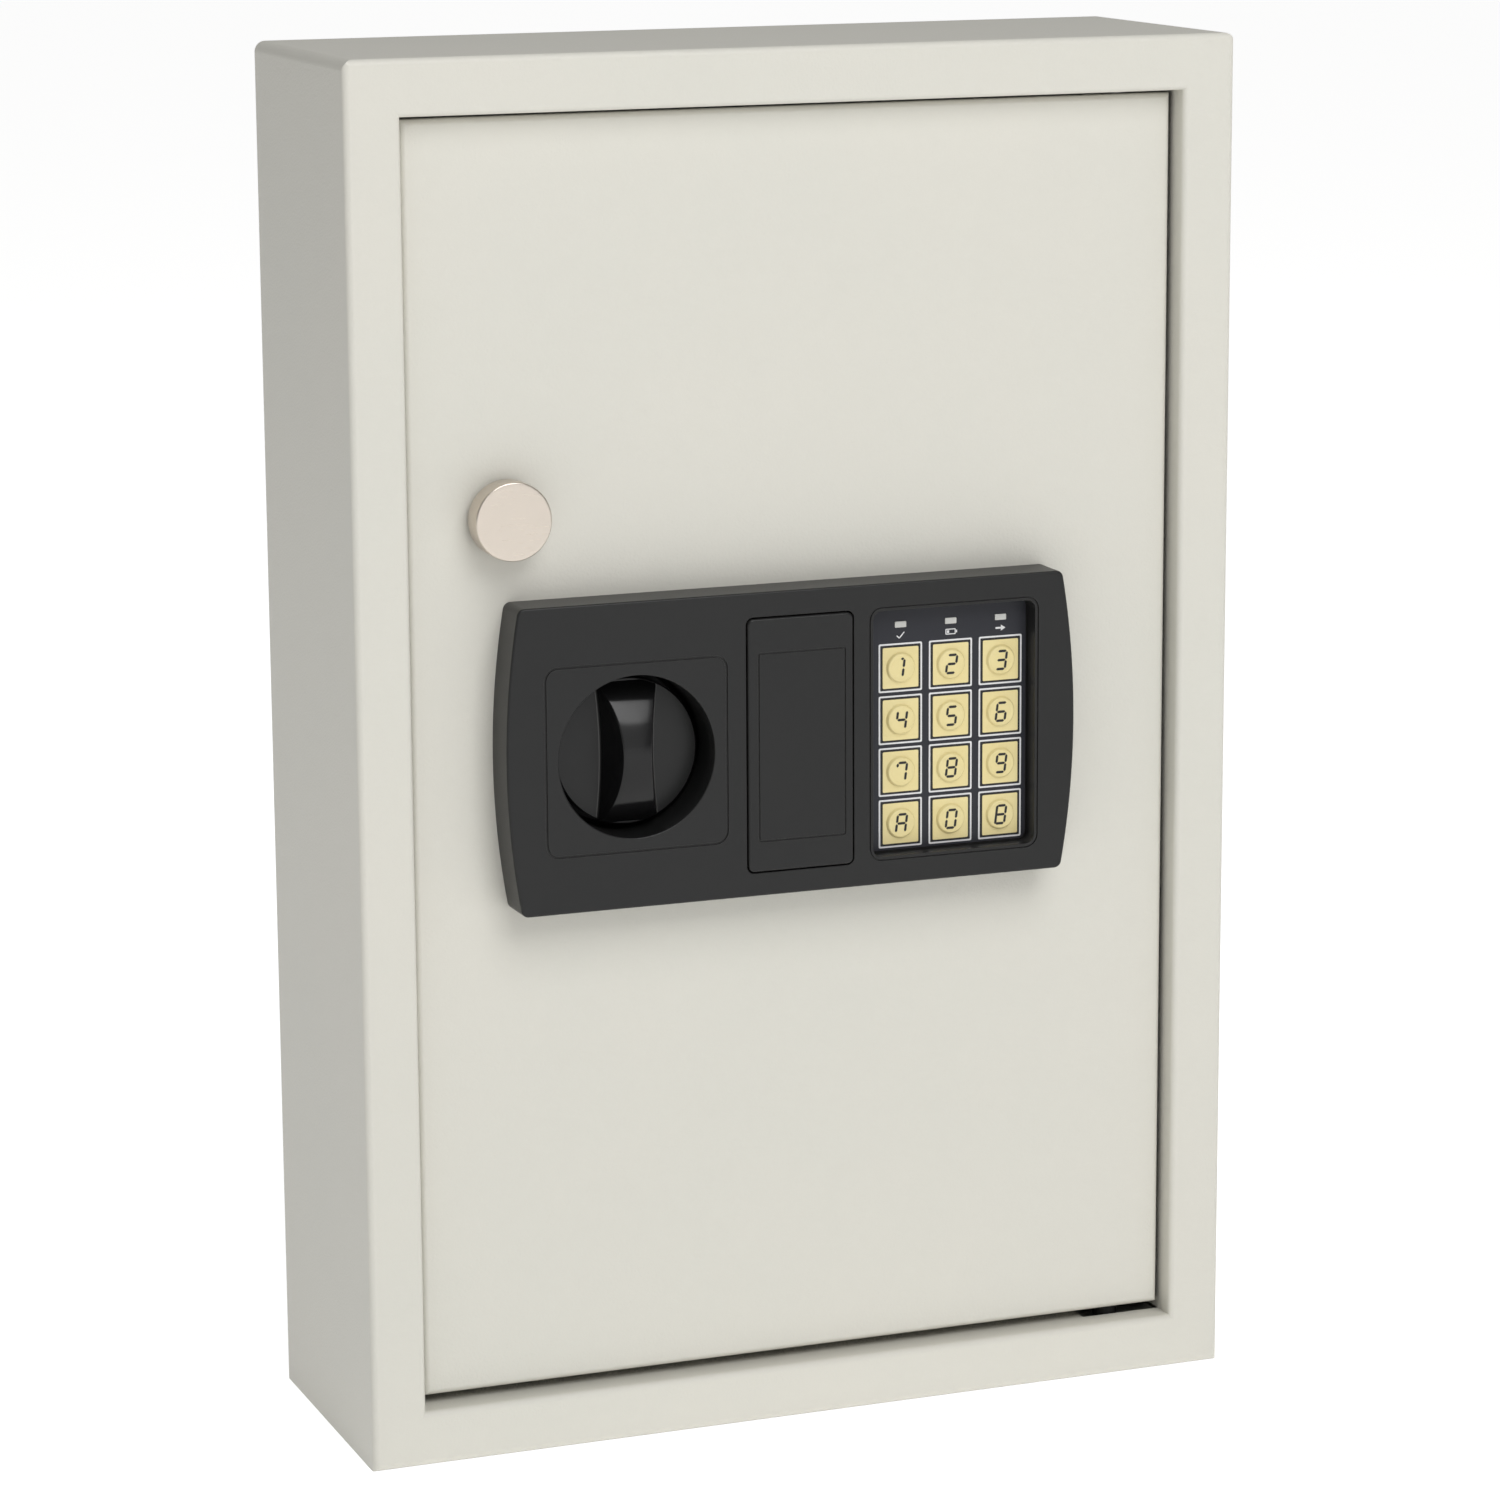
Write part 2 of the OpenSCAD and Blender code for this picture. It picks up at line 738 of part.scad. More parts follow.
module lock_cover() {
  w = cover_x1 - cover_x0;
  h = 105;
  z0 = panel_z - h / 2;
  color([0.35, 0.35, 0.36]) difference() {
    union() {
      translate([cover_x0, door_inner, z0]) cube([w, works_back - door_inner, h]);
      for (x = [-75, 65]) translate([x - 7, door_inner, z0 - 10]) cube([14, cover_sheet, h + 20]);
    }
    translate([cover_x0 + cover_sheet, door_inner - 1, z0 + cover_sheet])
      cube([w - 2 * cover_sheet, works_back - cover_sheet - door_inner + 1, h - 2 * cover_sheet]);
    for (z = bolt_zs)
      translate([cover_x0 - 1, bolt_y, z]) rotate([0, 90, 0]) cylinder(h = 4, r = bolt_r + 0.8);
    translate([bay_x - bay_w / 2, works_back - 3, bay_z0]) cube([bay_w, 4, bay_z1 - bay_z0]);
    translate([button_place[0], 0, button_place[1]]) rod_y(3.4, works_back - 3, works_back + 1);
    for (x = [-75, 65], z = [z0 - 5, z0 + h + 5]) translate([x, 0, z]) rod_y(2.2, door_inner - 1, door_inner + 3);
  }
}

module cover_nuts() {
  h = 105;
  z0 = panel_z - h / 2;
  color(zinc) for (x = [-75, 65], z = [z0 - 5, z0 + h + 5]) translate([x, 0, z]) {
    rod_y(2, door_inner, door_inner + 6);
    translate([0, door_inner + cover_sheet, 0]) rotate([-90, 0, 0]) cylinder(h = 3, r = 4, $fn = 6);
  }
}

module battery_box() {
  color([0.12, 0.12, 0.12]) difference() {
    translate([bay_x - bay_w / 2 - 1.5, tray_back, bay_z0 - 1.5])
      cube([bay_w + 3, 18.5, bay_z1 - bay_z0 + 3]);
    translate([bay_x - bay_w / 2, tray_back + 1.5, bay_z0]) cube([bay_w, 18, bay_z1 - bay_z0]);
  }
}

module batteries() {
  z0 = (bay_z0 + bay_z1 - cell_l) / 2;
  color([0.2, 0.2, 0.24]) for (n = [0 : cells - 1])
    translate([bay_x + (n - (cells - 1) / 2) * 15, tray_back + 1.7 + cell_r, z0]) {
      cylinder(h = cell_l - 1.5, r = cell_r);
      cylinder(h = cell_l, r = 2.7);
    }
}

module battery_cover() {
  w = bay_w - 0.8;
  h = bay_z1 - bay_z0 - 0.8;
  mid_z = (bay_z0 + bay_z1) / 2;
  color([0.15, 0.15, 0.15]) {
    slab(works_back - 3, works_back + 1) translate([bay_x, mid_z]) square([w, h], center = true);
    slab(works_back + 0.3, works_back + 1.8) translate([bay_x, mid_z]) round_rect(bay_w + 8, h + 8, 2);
    for (n = [-1 : 1]) slab(works_back + 1.5, works_back + 2.4)
      translate([bay_x, bay_z1 - 8 + 3 * n]) square([22, 1.2], center = true);
  }
}

module code_button() {
  color([0.7, 0.1, 0.08]) translate([button_place[0], 0, button_place[1]]) {
    rod_y(4.4, works_back - 3.5, works_back - 2);
    rod_y(3, works_back - 2.5, works_back + 1.4);
  }
}

cabinet_shell();
back_panel();
hinge_brackets();
hinge_washer();
bolt_keeper();
door_stops();
stop_bumpers();
rack_rails();
rack_screws();
number_strips();
key_rack(0);  // key_rack_1
key_rack(1);  // key_rack_2
key_rack(2);  // key_rack_3
key_rack(3);  // key_rack_4
key_rack(4);  // key_rack_5
key_rack(5);  // key_rack_6
door_panel();
hinge_pins();
hinge_blocks();
pull_knob();
pull_knob_screw();
panel_housing();
panel_screws();
keypad_film();
led_windows();
circuit_board();
override_lock_body();
lock_tray();
guide_studs();
solenoid_body();
lock_cover();
cover_nuts();
battery_box();
batteries();
turn_knob();
knob_shaft();
knob_crank();
bolt_plate();
locking_bolts();
override_cover();
override_plug();
solenoid_plunger();
plunger_spring();
battery_cover();
code_button();
key_pad(0);  // key_1
key_pad(1);  // key_2
key_pad(2);  // key_3
key_pad(3);  // key_4
key_pad(4);  // key_5
key_pad(5);  // key_6
key_pad(6);  // key_7
key_pad(7);  // key_8
key_pad(8);  // key_9
key_pad(9);  // key_a
key_pad(10);  // key_0
key_pad(11);  // key_b
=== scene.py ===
import json
import math
import bpy
import bmesh
from mathutils import Matrix, Vector


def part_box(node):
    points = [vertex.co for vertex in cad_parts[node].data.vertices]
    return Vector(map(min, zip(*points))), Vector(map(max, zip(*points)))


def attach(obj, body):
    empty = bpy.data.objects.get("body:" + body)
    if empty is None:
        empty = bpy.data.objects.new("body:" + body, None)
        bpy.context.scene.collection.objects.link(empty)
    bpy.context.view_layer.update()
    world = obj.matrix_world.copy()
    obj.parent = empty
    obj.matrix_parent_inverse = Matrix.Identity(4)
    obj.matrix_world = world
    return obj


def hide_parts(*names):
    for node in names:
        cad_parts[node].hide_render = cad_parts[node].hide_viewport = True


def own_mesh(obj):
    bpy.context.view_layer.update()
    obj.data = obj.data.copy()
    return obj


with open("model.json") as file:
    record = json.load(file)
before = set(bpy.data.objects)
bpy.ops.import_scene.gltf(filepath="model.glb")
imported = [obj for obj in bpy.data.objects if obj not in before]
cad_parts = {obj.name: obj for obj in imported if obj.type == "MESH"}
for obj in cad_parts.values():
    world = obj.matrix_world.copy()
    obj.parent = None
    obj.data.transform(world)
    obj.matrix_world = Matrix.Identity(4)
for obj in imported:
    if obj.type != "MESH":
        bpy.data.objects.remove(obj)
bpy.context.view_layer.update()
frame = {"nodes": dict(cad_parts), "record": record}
nodes = frame["nodes"]
mm = 0.001
print("frame loaded:", len(nodes), "parts")


# mesh helpers; lengths are in metres and turns in degrees
def finishMesh(name, bm, material, smoothAngle=32):
    mesh = bpy.data.meshes.new(name)
    bmesh.ops.recalc_face_normals(bm, faces=bm.faces)
    bm.to_mesh(mesh)
    bm.free()
    mesh.shade_smooth()
    mesh.set_sharp_from_angle(angle=math.radians(smoothAngle))
    piece = bpy.data.objects.new(name, mesh)
    bpy.context.scene.collection.objects.link(piece)
    if material is not None:
        mesh.materials.append(material)
    return piece


def keepFlatsFlat(piece):
    weighted = piece.modifiers.new("flat faces", "WEIGHTED_NORMAL")
    weighted.keep_sharp = True
    weighted.weight = 80


def addPiece(piece, body, slot, *stands):
    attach(piece, body)
    if stands:
        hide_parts(*stands)
    return piece


def middleOf(low, high):
    return ((low.x + high.x) / 2, (low.z + high.z) / 2)


def roundRect(width, height, radius, centre=(0, 0), steps=8):
    points = []
    corners = ((1, 1, 0), (-1, 1, 90), (-1, -1, 180), (1, -1, 270))
    for sideX, sideZ, start in corners:
        for step in range(steps + 1):
            angle = math.radians(start + 90 * step / steps)
            points.append((
                centre[0] + sideX * (width / 2 - radius) + radius * math.cos(angle),
                centre[1] + sideZ * (height / 2 - radius) + radius * math.sin(angle)))
    return points


def ring(radius, centre=(0, 0), steps=96):
    turn = [2 * math.pi * step / steps for step in range(steps)]
    return [(centre[0] + radius * math.cos(a), centre[1] + radius * math.sin(a)) for a in turn]


def addSlab(bm, outline, front, back, hole=None):
    # outline and hole are points in X and Z; the slab runs from front to back along Y
    def loop(points, y):
        return [bm.verts.new((x, y, z)) for x, z in points]

    outerFront, outerBack = loop(outline, front), loop(outline, back)
    count = len(outline)
    for i in range(count):
        j = (i + 1) % count
        bm.faces.new((outerFront[i], outerFront[j], outerBack[j], outerBack[i]))
    if hole is None:
        bm.faces.new(outerFront)
        bm.faces.new(outerBack[::-1])
        return
    innerFront, innerBack = loop(hole, front), loop(hole, back)
    for i in range(count):
        j = (i + 1) % count
        bm.faces.new((innerFront[i], innerBack[i], innerBack[j], innerFront[j]))
        bm.faces.new((outerFront[i], innerFront[i], innerFront[j], outerFront[j]))
        bm.faces.new((outerBack[i], outerBack[j], innerBack[j], innerBack[i]))


def addTurned(bm, profile, centre, steps=96):
    # profile is (radius, y) from the axis outwards and back to the axis, turned about Y
    rings = []
    for radius, y in profile:
        if radius < 1e-6:
            rings.append([bm.verts.new((centre[0], y, centre[1]))])
            continue
        rings.append([bm.verts.new((x, y, z)) for x, z in ring(radius, centre, steps)])
    for a, b in zip(rings, rings[1:]):
        for i in range(steps):
            j = (i + 1) % steps
            corners = [a[i % len(a)], a[j % len(a)], b[j % len(b)], b[i % len(b)]]
            bm.faces.new(list(dict.fromkeys(corners)))


def arcPoints(centre, radius, start, end, steps):
    angles = [math.radians(start + (end - start) * step / steps) for step in range(steps + 1)]
    return [(centre[0] + radius * math.cos(a), centre[1] + radius * math.sin(a)) for a in angles]


def cutAway(piece, outline, front, back, hole=None):
    bm = bmesh.new()
    addSlab(bm, outline, front, back, hole)
    cutter = finishMesh("cutter", bm, None)
    cutting = piece.modifiers.new("cut", "BOOLEAN")
    cutting.operation = "DIFFERENCE"
    cutting.solver = "EXACT"
    cutting.object = cutter
    bpy.context.view_layer.update()
    cut = bpy.data.meshes.new_from_object(piece.evaluated_get(bpy.context.evaluated_depsgraph_get()))
    piece.modifiers.clear()
    piece.data = cut
    bpy.data.objects.remove(cutter)


def softenRim(piece, isRim, width, segments=3, smoothAngle=32):
    # isRim is asked of the middle of each folded edge
    bm = bmesh.new()
    bm.from_mesh(piece.data)
    bmesh.ops.remove_doubles(bm, verts=bm.verts, dist=1e-6)
    rim = [e for e in bm.edges if len(e.link_faces) == 2 and e.calc_face_angle() > 0.6
           and isRim((e.verts[0].co + e.verts[1].co) / 2)]
    bmesh.ops.bevel(bm, geom=rim, offset=width, segments=segments, affect="EDGES", profile=0.5)
    bm.to_mesh(piece.data)
    bm.free()
    piece.data.shade_smooth()
    piece.data.set_sharp_from_angle(angle=math.radians(smoothAngle))


# surface effects that several materials share
def newGroup(name, inputs, outputs):
    group = bpy.data.node_groups.new(name, "ShaderNodeTree")
    for label, kind, value in inputs:
        socket = group.interface.new_socket(name=label, in_out="INPUT", socket_type=kind)
        socket.default_value = value
    for label, kind in outputs:
        group.interface.new_socket(name=label, in_out="OUTPUT", socket_type=kind)
    return group, group.nodes.new("NodeGroupInput"), group.nodes.new("NodeGroupOutput")


def addNode(tree, kind, values=None, **settings):
    node = tree.nodes.new(kind)
    for key, value in settings.items():
        setattr(node, key, value)
    for key, value in (values or {}).items():
        node.inputs[key].default_value = value
    return node


def addMath(tree, operation, first, second):
    node = addNode(tree, "ShaderNodeMath", operation=operation)
    for index, value in enumerate((first, second)):
        if isinstance(value, (int, float)):
            node.inputs[index].default_value = value
        else:
            tree.links.new(value, node.inputs[index])
    return node.outputs[0]


def makeOrangePeel():
    group, given, result = newGroup(
        "orangePeel",
        [("Dimple Scale", "NodeSocketFloat", 900.0), ("Fine Share", "NodeSocketFloat", 0.35)],
        [("Height", "NodeSocketFloat"), ("Speckle", "NodeSocketFloat")])
    place = addNode(group, "ShaderNodeTexCoord")
    dimples = addNode(group, "ShaderNodeTexNoise", {"Detail": 2.0, "Roughness": 0.5})
    fine = addNode(group, "ShaderNodeTexNoise", {"Detail": 1.0, "Roughness": 0.6})
    link = group.links.new
    for texture in (dimples, fine):
        link(place.outputs["Object"], texture.inputs["Vector"])
    link(given.outputs["Dimple Scale"], dimples.inputs["Scale"])
    link(addMath(group, "MULTIPLY", given.outputs["Dimple Scale"], 3.1), fine.inputs["Scale"])
    share = addMath(group, "MULTIPLY", fine.outputs["Fac"], given.outputs["Fine Share"])
    link(addMath(group, "ADD", dimples.outputs["Fac"], share), result.inputs["Height"])
    speckle = addNode(group, "ShaderNodeMapRange", {"From Min": 0.35, "From Max": 0.7})
    link(fine.outputs["Fac"], speckle.inputs["Value"])
    link(speckle.outputs["Result"], result.inputs["Speckle"])
    return group


def makeMottle():
    group, given, result = newGroup(
        "mottle",
        [("Base", "NodeSocketColor", (0.5, 0.5, 0.5, 1)),
         ("Other", "NodeSocketColor", (0.5, 0.5, 0.5, 1)),
         ("Patch Scale", "NodeSocketFloat", 9.0), ("Amount", "NodeSocketFloat", 0.5)],
        [("Color", "NodeSocketColor"), ("Mask", "NodeSocketFloat")])
    place = addNode(group, "ShaderNodeTexCoord")
    patches = addNode(group, "ShaderNodeTexNoise", {"Detail": 5.0, "Roughness": 0.62})
    spread = addNode(group, "ShaderNodeMapRange", {"From Min": 0.3, "From Max": 0.7})
    blend = addNode(group, "ShaderNodeMix", data_type="RGBA")
    link = group.links.new
    link(place.outputs["Object"], patches.inputs["Vector"])
    link(given.outputs["Patch Scale"], patches.inputs["Scale"])
    link(patches.outputs["Fac"], spread.inputs["Value"])
    mask = addMath(group, "MULTIPLY", spread.outputs["Result"], given.outputs["Amount"])
    link(mask, blend.inputs["Factor"])
    link(given.outputs["Base"], blend.inputs["A"])
    link(given.outputs["Other"], blend.inputs["B"])
    link(blend.outputs["Result"], result.inputs["Color"])
    link(mask, result.inputs["Mask"])
    return group


def makeEdgeWear():
    group, given, result = newGroup(
        "edgeWear",
        [("Reach", "NodeSocketFloat", 0.0006), ("Strength", "NodeSocketFloat", 1.0),
         ("Breakup Scale", "NodeSocketFloat", 300.0)],
        [("Mask", "NodeSocketFloat")])
    rounded = addNode(group, "ShaderNodeBevel", samples=6)
    surface = addNode(group, "ShaderNodeNewGeometry")
    turned = addNode(group, "ShaderNodeVectorMath", operation="DOT_PRODUCT")
    place = addNode(group, "ShaderNodeTexCoord")
    breakup = addNode(group, "ShaderNodeTexNoise", {"Detail": 4.0, "Roughness": 0.7})
    link = group.links.new
    link(given.outputs["Reach"], rounded.inputs["Radius"])
    link(rounded.outputs["Normal"], turned.inputs[0])
    link(surface.outputs["Normal"], turned.inputs[1])
    link(place.outputs["Object"], breakup.inputs["Vector"])
    link(given.outputs["Breakup Scale"], breakup.inputs["Scale"])
    away = addMath(group, "SUBTRACT", 1.0, turned.outputs["Value"])
    raised = addMath(group, "MULTIPLY", away, 6.0)
    ragged = addMath(group, "MULTIPLY", raised, breakup.outputs["Fac"])
    mask = addNode(group, "ShaderNodeClamp")
    link(addMath(group, "MULTIPLY", ragged, given.outputs["Strength"]), mask.inputs["Value"])
    link(mask.outputs["Result"], result.inputs["Mask"])
    return group


# dust in corners, and painted shade on the walls of narrow gaps
def makeCornerDustAndGapShade():
    group, given, result = newGroup(
        "cornerDustAndGapShade",
        [("Reach", "NodeSocketFloat", 0.006), ("Strength", "NodeSocketFloat", 0.5)],
        [("Mask", "NodeSocketFloat"), ("Gap", "NodeSocketFloat")])
    shelter = addNode(group, "ShaderNodeAmbientOcclusion", samples=8)
    place = addNode(group, "ShaderNodeTexCoord")
    breakup = addNode(group, "ShaderNodeTexNoise", {"Scale": 180.0, "Detail": 4.0, "Roughness": 0.7})
    link = group.links.new
    link(given.outputs["Reach"], shelter.inputs["Distance"])
    link(place.outputs["Object"], breakup.inputs["Vector"])
    hidden = addMath(group, "SUBTRACT", 1.0, shelter.outputs["AO"])
    ragged = addMath(group, "MULTIPLY", hidden, breakup.outputs["Fac"])
    link(addMath(group, "MULTIPLY", ragged, given.outputs["Strength"]), result.inputs["Mask"])
    # painted gap shade: only the walls of a narrow gap are hidden enough to count, and they are darkened
    deep = addNode(group, "ShaderNodeMapRange",
                   {"From Min": 0.02, "From Max": 0.13, "To Min": 1.0, "To Max": 0.0})
    link(shelter.outputs["AO"], deep.inputs["Value"])
    link(deep.outputs["Result"], result.inputs["Gap"])
    return group


def makeBrushing():
    group, given, result = newGroup(
        "brushing",
        [("Along", "NodeSocketVector", (40.0, 900.0, 900.0)), ("Depth", "NodeSocketFloat", 1.0)],
        [("Height", "NodeSocketFloat"), ("Streak", "NodeSocketFloat")])
    place = addNode(group, "ShaderNodeTexCoord")
    stretch = addNode(group, "ShaderNodeVectorMath", operation="MULTIPLY")
    lines = addNode(group, "ShaderNodeTexNoise", {"Scale": 1.0, "Detail": 3.0, "Roughness": 0.6})
    link = group.links.new
    link(place.outputs["Object"], stretch.inputs[0])
    link(given.outputs["Along"], stretch.inputs[1])
    link(stretch.outputs["Vector"], lines.inputs["Vector"])
    height = addMath(group, "MULTIPLY", lines.outputs["Fac"], given.outputs["Depth"])
    link(height, result.inputs["Height"])
    link(lines.outputs["Fac"], result.inputs["Streak"])
    return group


groups = {
    "orangePeel": makeOrangePeel(), "mottle": makeMottle(), "edgeWear": makeEdgeWear(),
    "cornerDustAndGapShade": makeCornerDustAndGapShade(), "brushing": makeBrushing()}


def placeGroup(tree, name, **values):
    node = tree.nodes.new("ShaderNodeGroup")
    node.node_tree = groups[name]
    node.label = name
    for key, value in values.items():
        node.inputs[key].default_value = value
    return node


def startMaterial(name, roughness, metallic=0.0):
    material = bpy.data.materials.new(name)
    material.use_nodes = True
    shader = material.node_tree.nodes["Principled BSDF"]
    shader.inputs["Roughness"].default_value = roughness
    shader.inputs["Metallic"].default_value = metallic
    return material, material.node_tree, shader


def colour(r, g, b):
    return (r, g, b, 1)


def mixInto(tree, factor, first, second):
    blend = addNode(tree, "ShaderNodeMix", data_type="RGBA")
    tree.links.new(factor, blend.inputs["Factor"])
    for label, value in (("A", first), ("B", second)):
        if isinstance(value, tuple):
            blend.inputs[label].default_value = value
        else:
            tree.links.new(value, blend.inputs[label])
    return blend.outputs["Result"]


def rangeOf(tree, value, low, high):
    node = addNode(tree, "ShaderNodeMapRange", {"To Min": low, "To Max": high})
    tree.links.new(value, node.inputs["Value"])
    return node.outputs["Result"]


def addBump(tree, shader, height, strength, distance):
    bump = addNode(tree, "ShaderNodeBump", {"Strength": strength, "Distance": distance})
    tree.links.new(height, bump.inputs["Height"])
    tree.links.new(bump.outputs["Normal"], shader.inputs["Normal"])


powderCoat = {
    "base": colour(0.70, 0.69, 0.625), "warm": colour(0.735, 0.71, 0.64),
    "worn": colour(0.80, 0.79, 0.74), "dust": colour(0.42, 0.39, 0.34),
    # the darkest colour here is painted shade for the walls of narrow gaps
    "gapShade": colour(0.06, 0.057, 0.05),
    "roughness": (0.36, 0.50), "dimples": 1100.0, "bump": 0.36, "patch": 7.0}


def makePowderCoat(name, look):
    material, tree, shader = startMaterial(name, 0.42)
    peel = placeGroup(tree, "orangePeel", **{"Dimple Scale": look["dimples"], "Fine Share": 0.3})
    mottle = placeGroup(tree, "mottle", Base=look["base"], Other=look["warm"], Amount=0.6,
                        **{"Patch Scale": look["patch"]})
    wear = placeGroup(tree, "edgeWear", Reach=0.0008, Strength=0.55, **{"Breakup Scale": 420.0})
    dust = placeGroup(tree, "cornerDustAndGapShade", Reach=0.008, Strength=0.16)
    worn = mixInto(tree, wear.outputs["Mask"], mottle.outputs["Color"], look["worn"])
    dusted = mixInto(tree, dust.outputs["Mask"], worn, look["dust"])
    # painted gap shade: the walls of narrow gaps are turned nearly black
    gapShaded = mixInto(tree, dust.outputs["Gap"], dusted, look["gapShade"])
    tree.links.new(gapShaded, shader.inputs["Base Color"])
    low, high = look["roughness"]
    tree.links.new(rangeOf(tree, peel.outputs["Speckle"], low, high), shader.inputs["Roughness"])
    addBump(tree, shader, peel.outputs["Height"], look["bump"], 0.0003)
    return material


plasticDust = colour(0.11, 0.105, 0.095)
mouldedPlastic = {
    "panel": {"base": colour(0.0135, 0.0138, 0.0140), "other": colour(0.0160, 0.0160, 0.0157),
              "worn": colour(0.06, 0.06, 0.058), "roughness": (0.30, 0.38),
              "grain": 3600.0, "bump": 0.10, "shine": 0.32},
    "black": {"base": colour(0.008, 0.008, 0.008), "other": colour(0.011, 0.011, 0.011),
              "worn": colour(0.03, 0.03, 0.03), "roughness": (0.36, 0.5),
              "grain": 3000.0, "bump": 0.12, "shine": 0.18},
    "film": {"base": colour(0.026, 0.027, 0.034), "other": colour(0.030, 0.031, 0.038),
             "worn": colour(0.05, 0.05, 0.06), "roughness": (0.36, 0.44),
             "grain": 5000.0, "bump": 0.04, "shine": 0.26}}


def makeMouldedPlastic(name, look):
    material, tree, shader = startMaterial(name, 0.45)
    shader.inputs["Specular IOR Level"].default_value = look["shine"]
    grain = placeGroup(tree, "orangePeel", **{"Dimple Scale": look["grain"], "Fine Share": 0.5})
    mottle = placeGroup(tree, "mottle", Base=look["base"], Other=look["other"], Amount=0.7,
                        **{"Patch Scale": 26.0})
    wear = placeGroup(tree, "edgeWear", Reach=0.0004, Strength=0.8, **{"Breakup Scale": 700.0})
    dust = placeGroup(tree, "cornerDustAndGapShade", Reach=0.003, Strength=0.12)
    worn = mixInto(tree, wear.outputs["Mask"], mottle.outputs["Color"], look["worn"])
    dusted = mixInto(tree, dust.outputs["Mask"], worn, plasticDust)
    tree.links.new(dusted, shader.inputs["Base Color"])
    low, high = look["roughness"]
    tree.links.new(rangeOf(tree, grain.outputs["Speckle"], low, high), shader.inputs["Roughness"])
    addBump(tree, shader, grain.outputs["Height"], look["bump"], 0.0001)
    return material


knobGloss = {
    "base": colour(0.005, 0.005, 0.0055), "other": colour(0.007, 0.007, 0.007),
    "worn": colour(0.05, 0.05, 0.05), "roughness": (0.15, 0.21), "shine": 0.36}


def makeKnobGloss(name, look):
    material, tree, shader = startMaterial(name, 0.2)
    shader.inputs["Specular IOR Level"].default_value = look["shine"]
    mottle = placeGroup(tree, "mottle", Base=look["base"], Other=look["other"], Amount=0.8,
                        **{"Patch Scale": 60.0})
    wear = placeGroup(tree, "edgeWear", Reach=0.0004, Strength=0.6, **{"Breakup Scale": 600.0})
    worn = mixInto(tree, wear.outputs["Mask"], mottle.outputs["Color"], look["worn"])
    tree.links.new(worn, shader.inputs["Base Color"])
    low, high = look["roughness"]
    tree.links.new(rangeOf(tree, mottle.outputs["Mask"], low, high), shader.inputs["Roughness"])
    grain = placeGroup(tree, "orangePeel", **{"Dimple Scale": 2400.0, "Fine Share": 0.5})
    addBump(tree, shader, grain.outputs["Height"], 0.03, 0.0001)
    return material


# "along" is how fine the brushing runs in X, Y and Z
wornMetal = colour(0.86, 0.85, 0.83)
metals = {
    "zincPlate": {"base": colour(0.58, 0.58, 0.56), "other": colour(0.50, 0.51, 0.52),
                  "roughness": (0.30, 0.46), "along": (60.0, 900.0, 900.0)},
    "brightSteel": {"base": colour(0.66, 0.66, 0.67), "other": colour(0.58, 0.58, 0.60),
                    "roughness": (0.16, 0.30), "along": (1800.0, 60.0, 60.0)},
    "screwZinc": {"base": colour(0.64, 0.62, 0.56), "other": colour(0.56, 0.55, 0.54),
                  "roughness": (0.22, 0.38), "along": (900.0, 60.0, 900.0)},
    "satinNickel": {"base": colour(0.68, 0.61, 0.535), "other": colour(0.65, 0.585, 0.515),
                    "roughness": (0.24, 0.34), "along": (90.0, 900.0, 2600.0), "bump": 0.02},
    "lockBrass": {"base": colour(0.70, 0.58, 0.34), "other": colour(0.60, 0.50, 0.30),
                  "roughness": (0.22, 0.36), "along": (700.0, 60.0, 700.0)}}


def makeMetal(name, look):
    material, tree, shader = startMaterial(name, 0.3, metallic=1.0)
    brushing = placeGroup(tree, "brushing", Along=look["along"])
    mottle = placeGroup(tree, "mottle", Base=look["base"], Other=look["other"], Amount=0.8,
                        **{"Patch Scale": 40.0})
    wear = placeGroup(tree, "edgeWear", Reach=0.0004, Strength=0.7, **{"Breakup Scale": 500.0})
    worn = mixInto(tree, wear.outputs["Mask"], mottle.outputs["Color"], wornMetal)
    tree.links.new(worn, shader.inputs["Base Color"])
    low, high = look["roughness"]
    tree.links.new(rangeOf(tree, brushing.outputs["Streak"], low, high), shader.inputs["Roughness"])
    addBump(tree, shader, brushing.outputs["Height"], look.get("bump", 0.06), 0.0001)
    return material


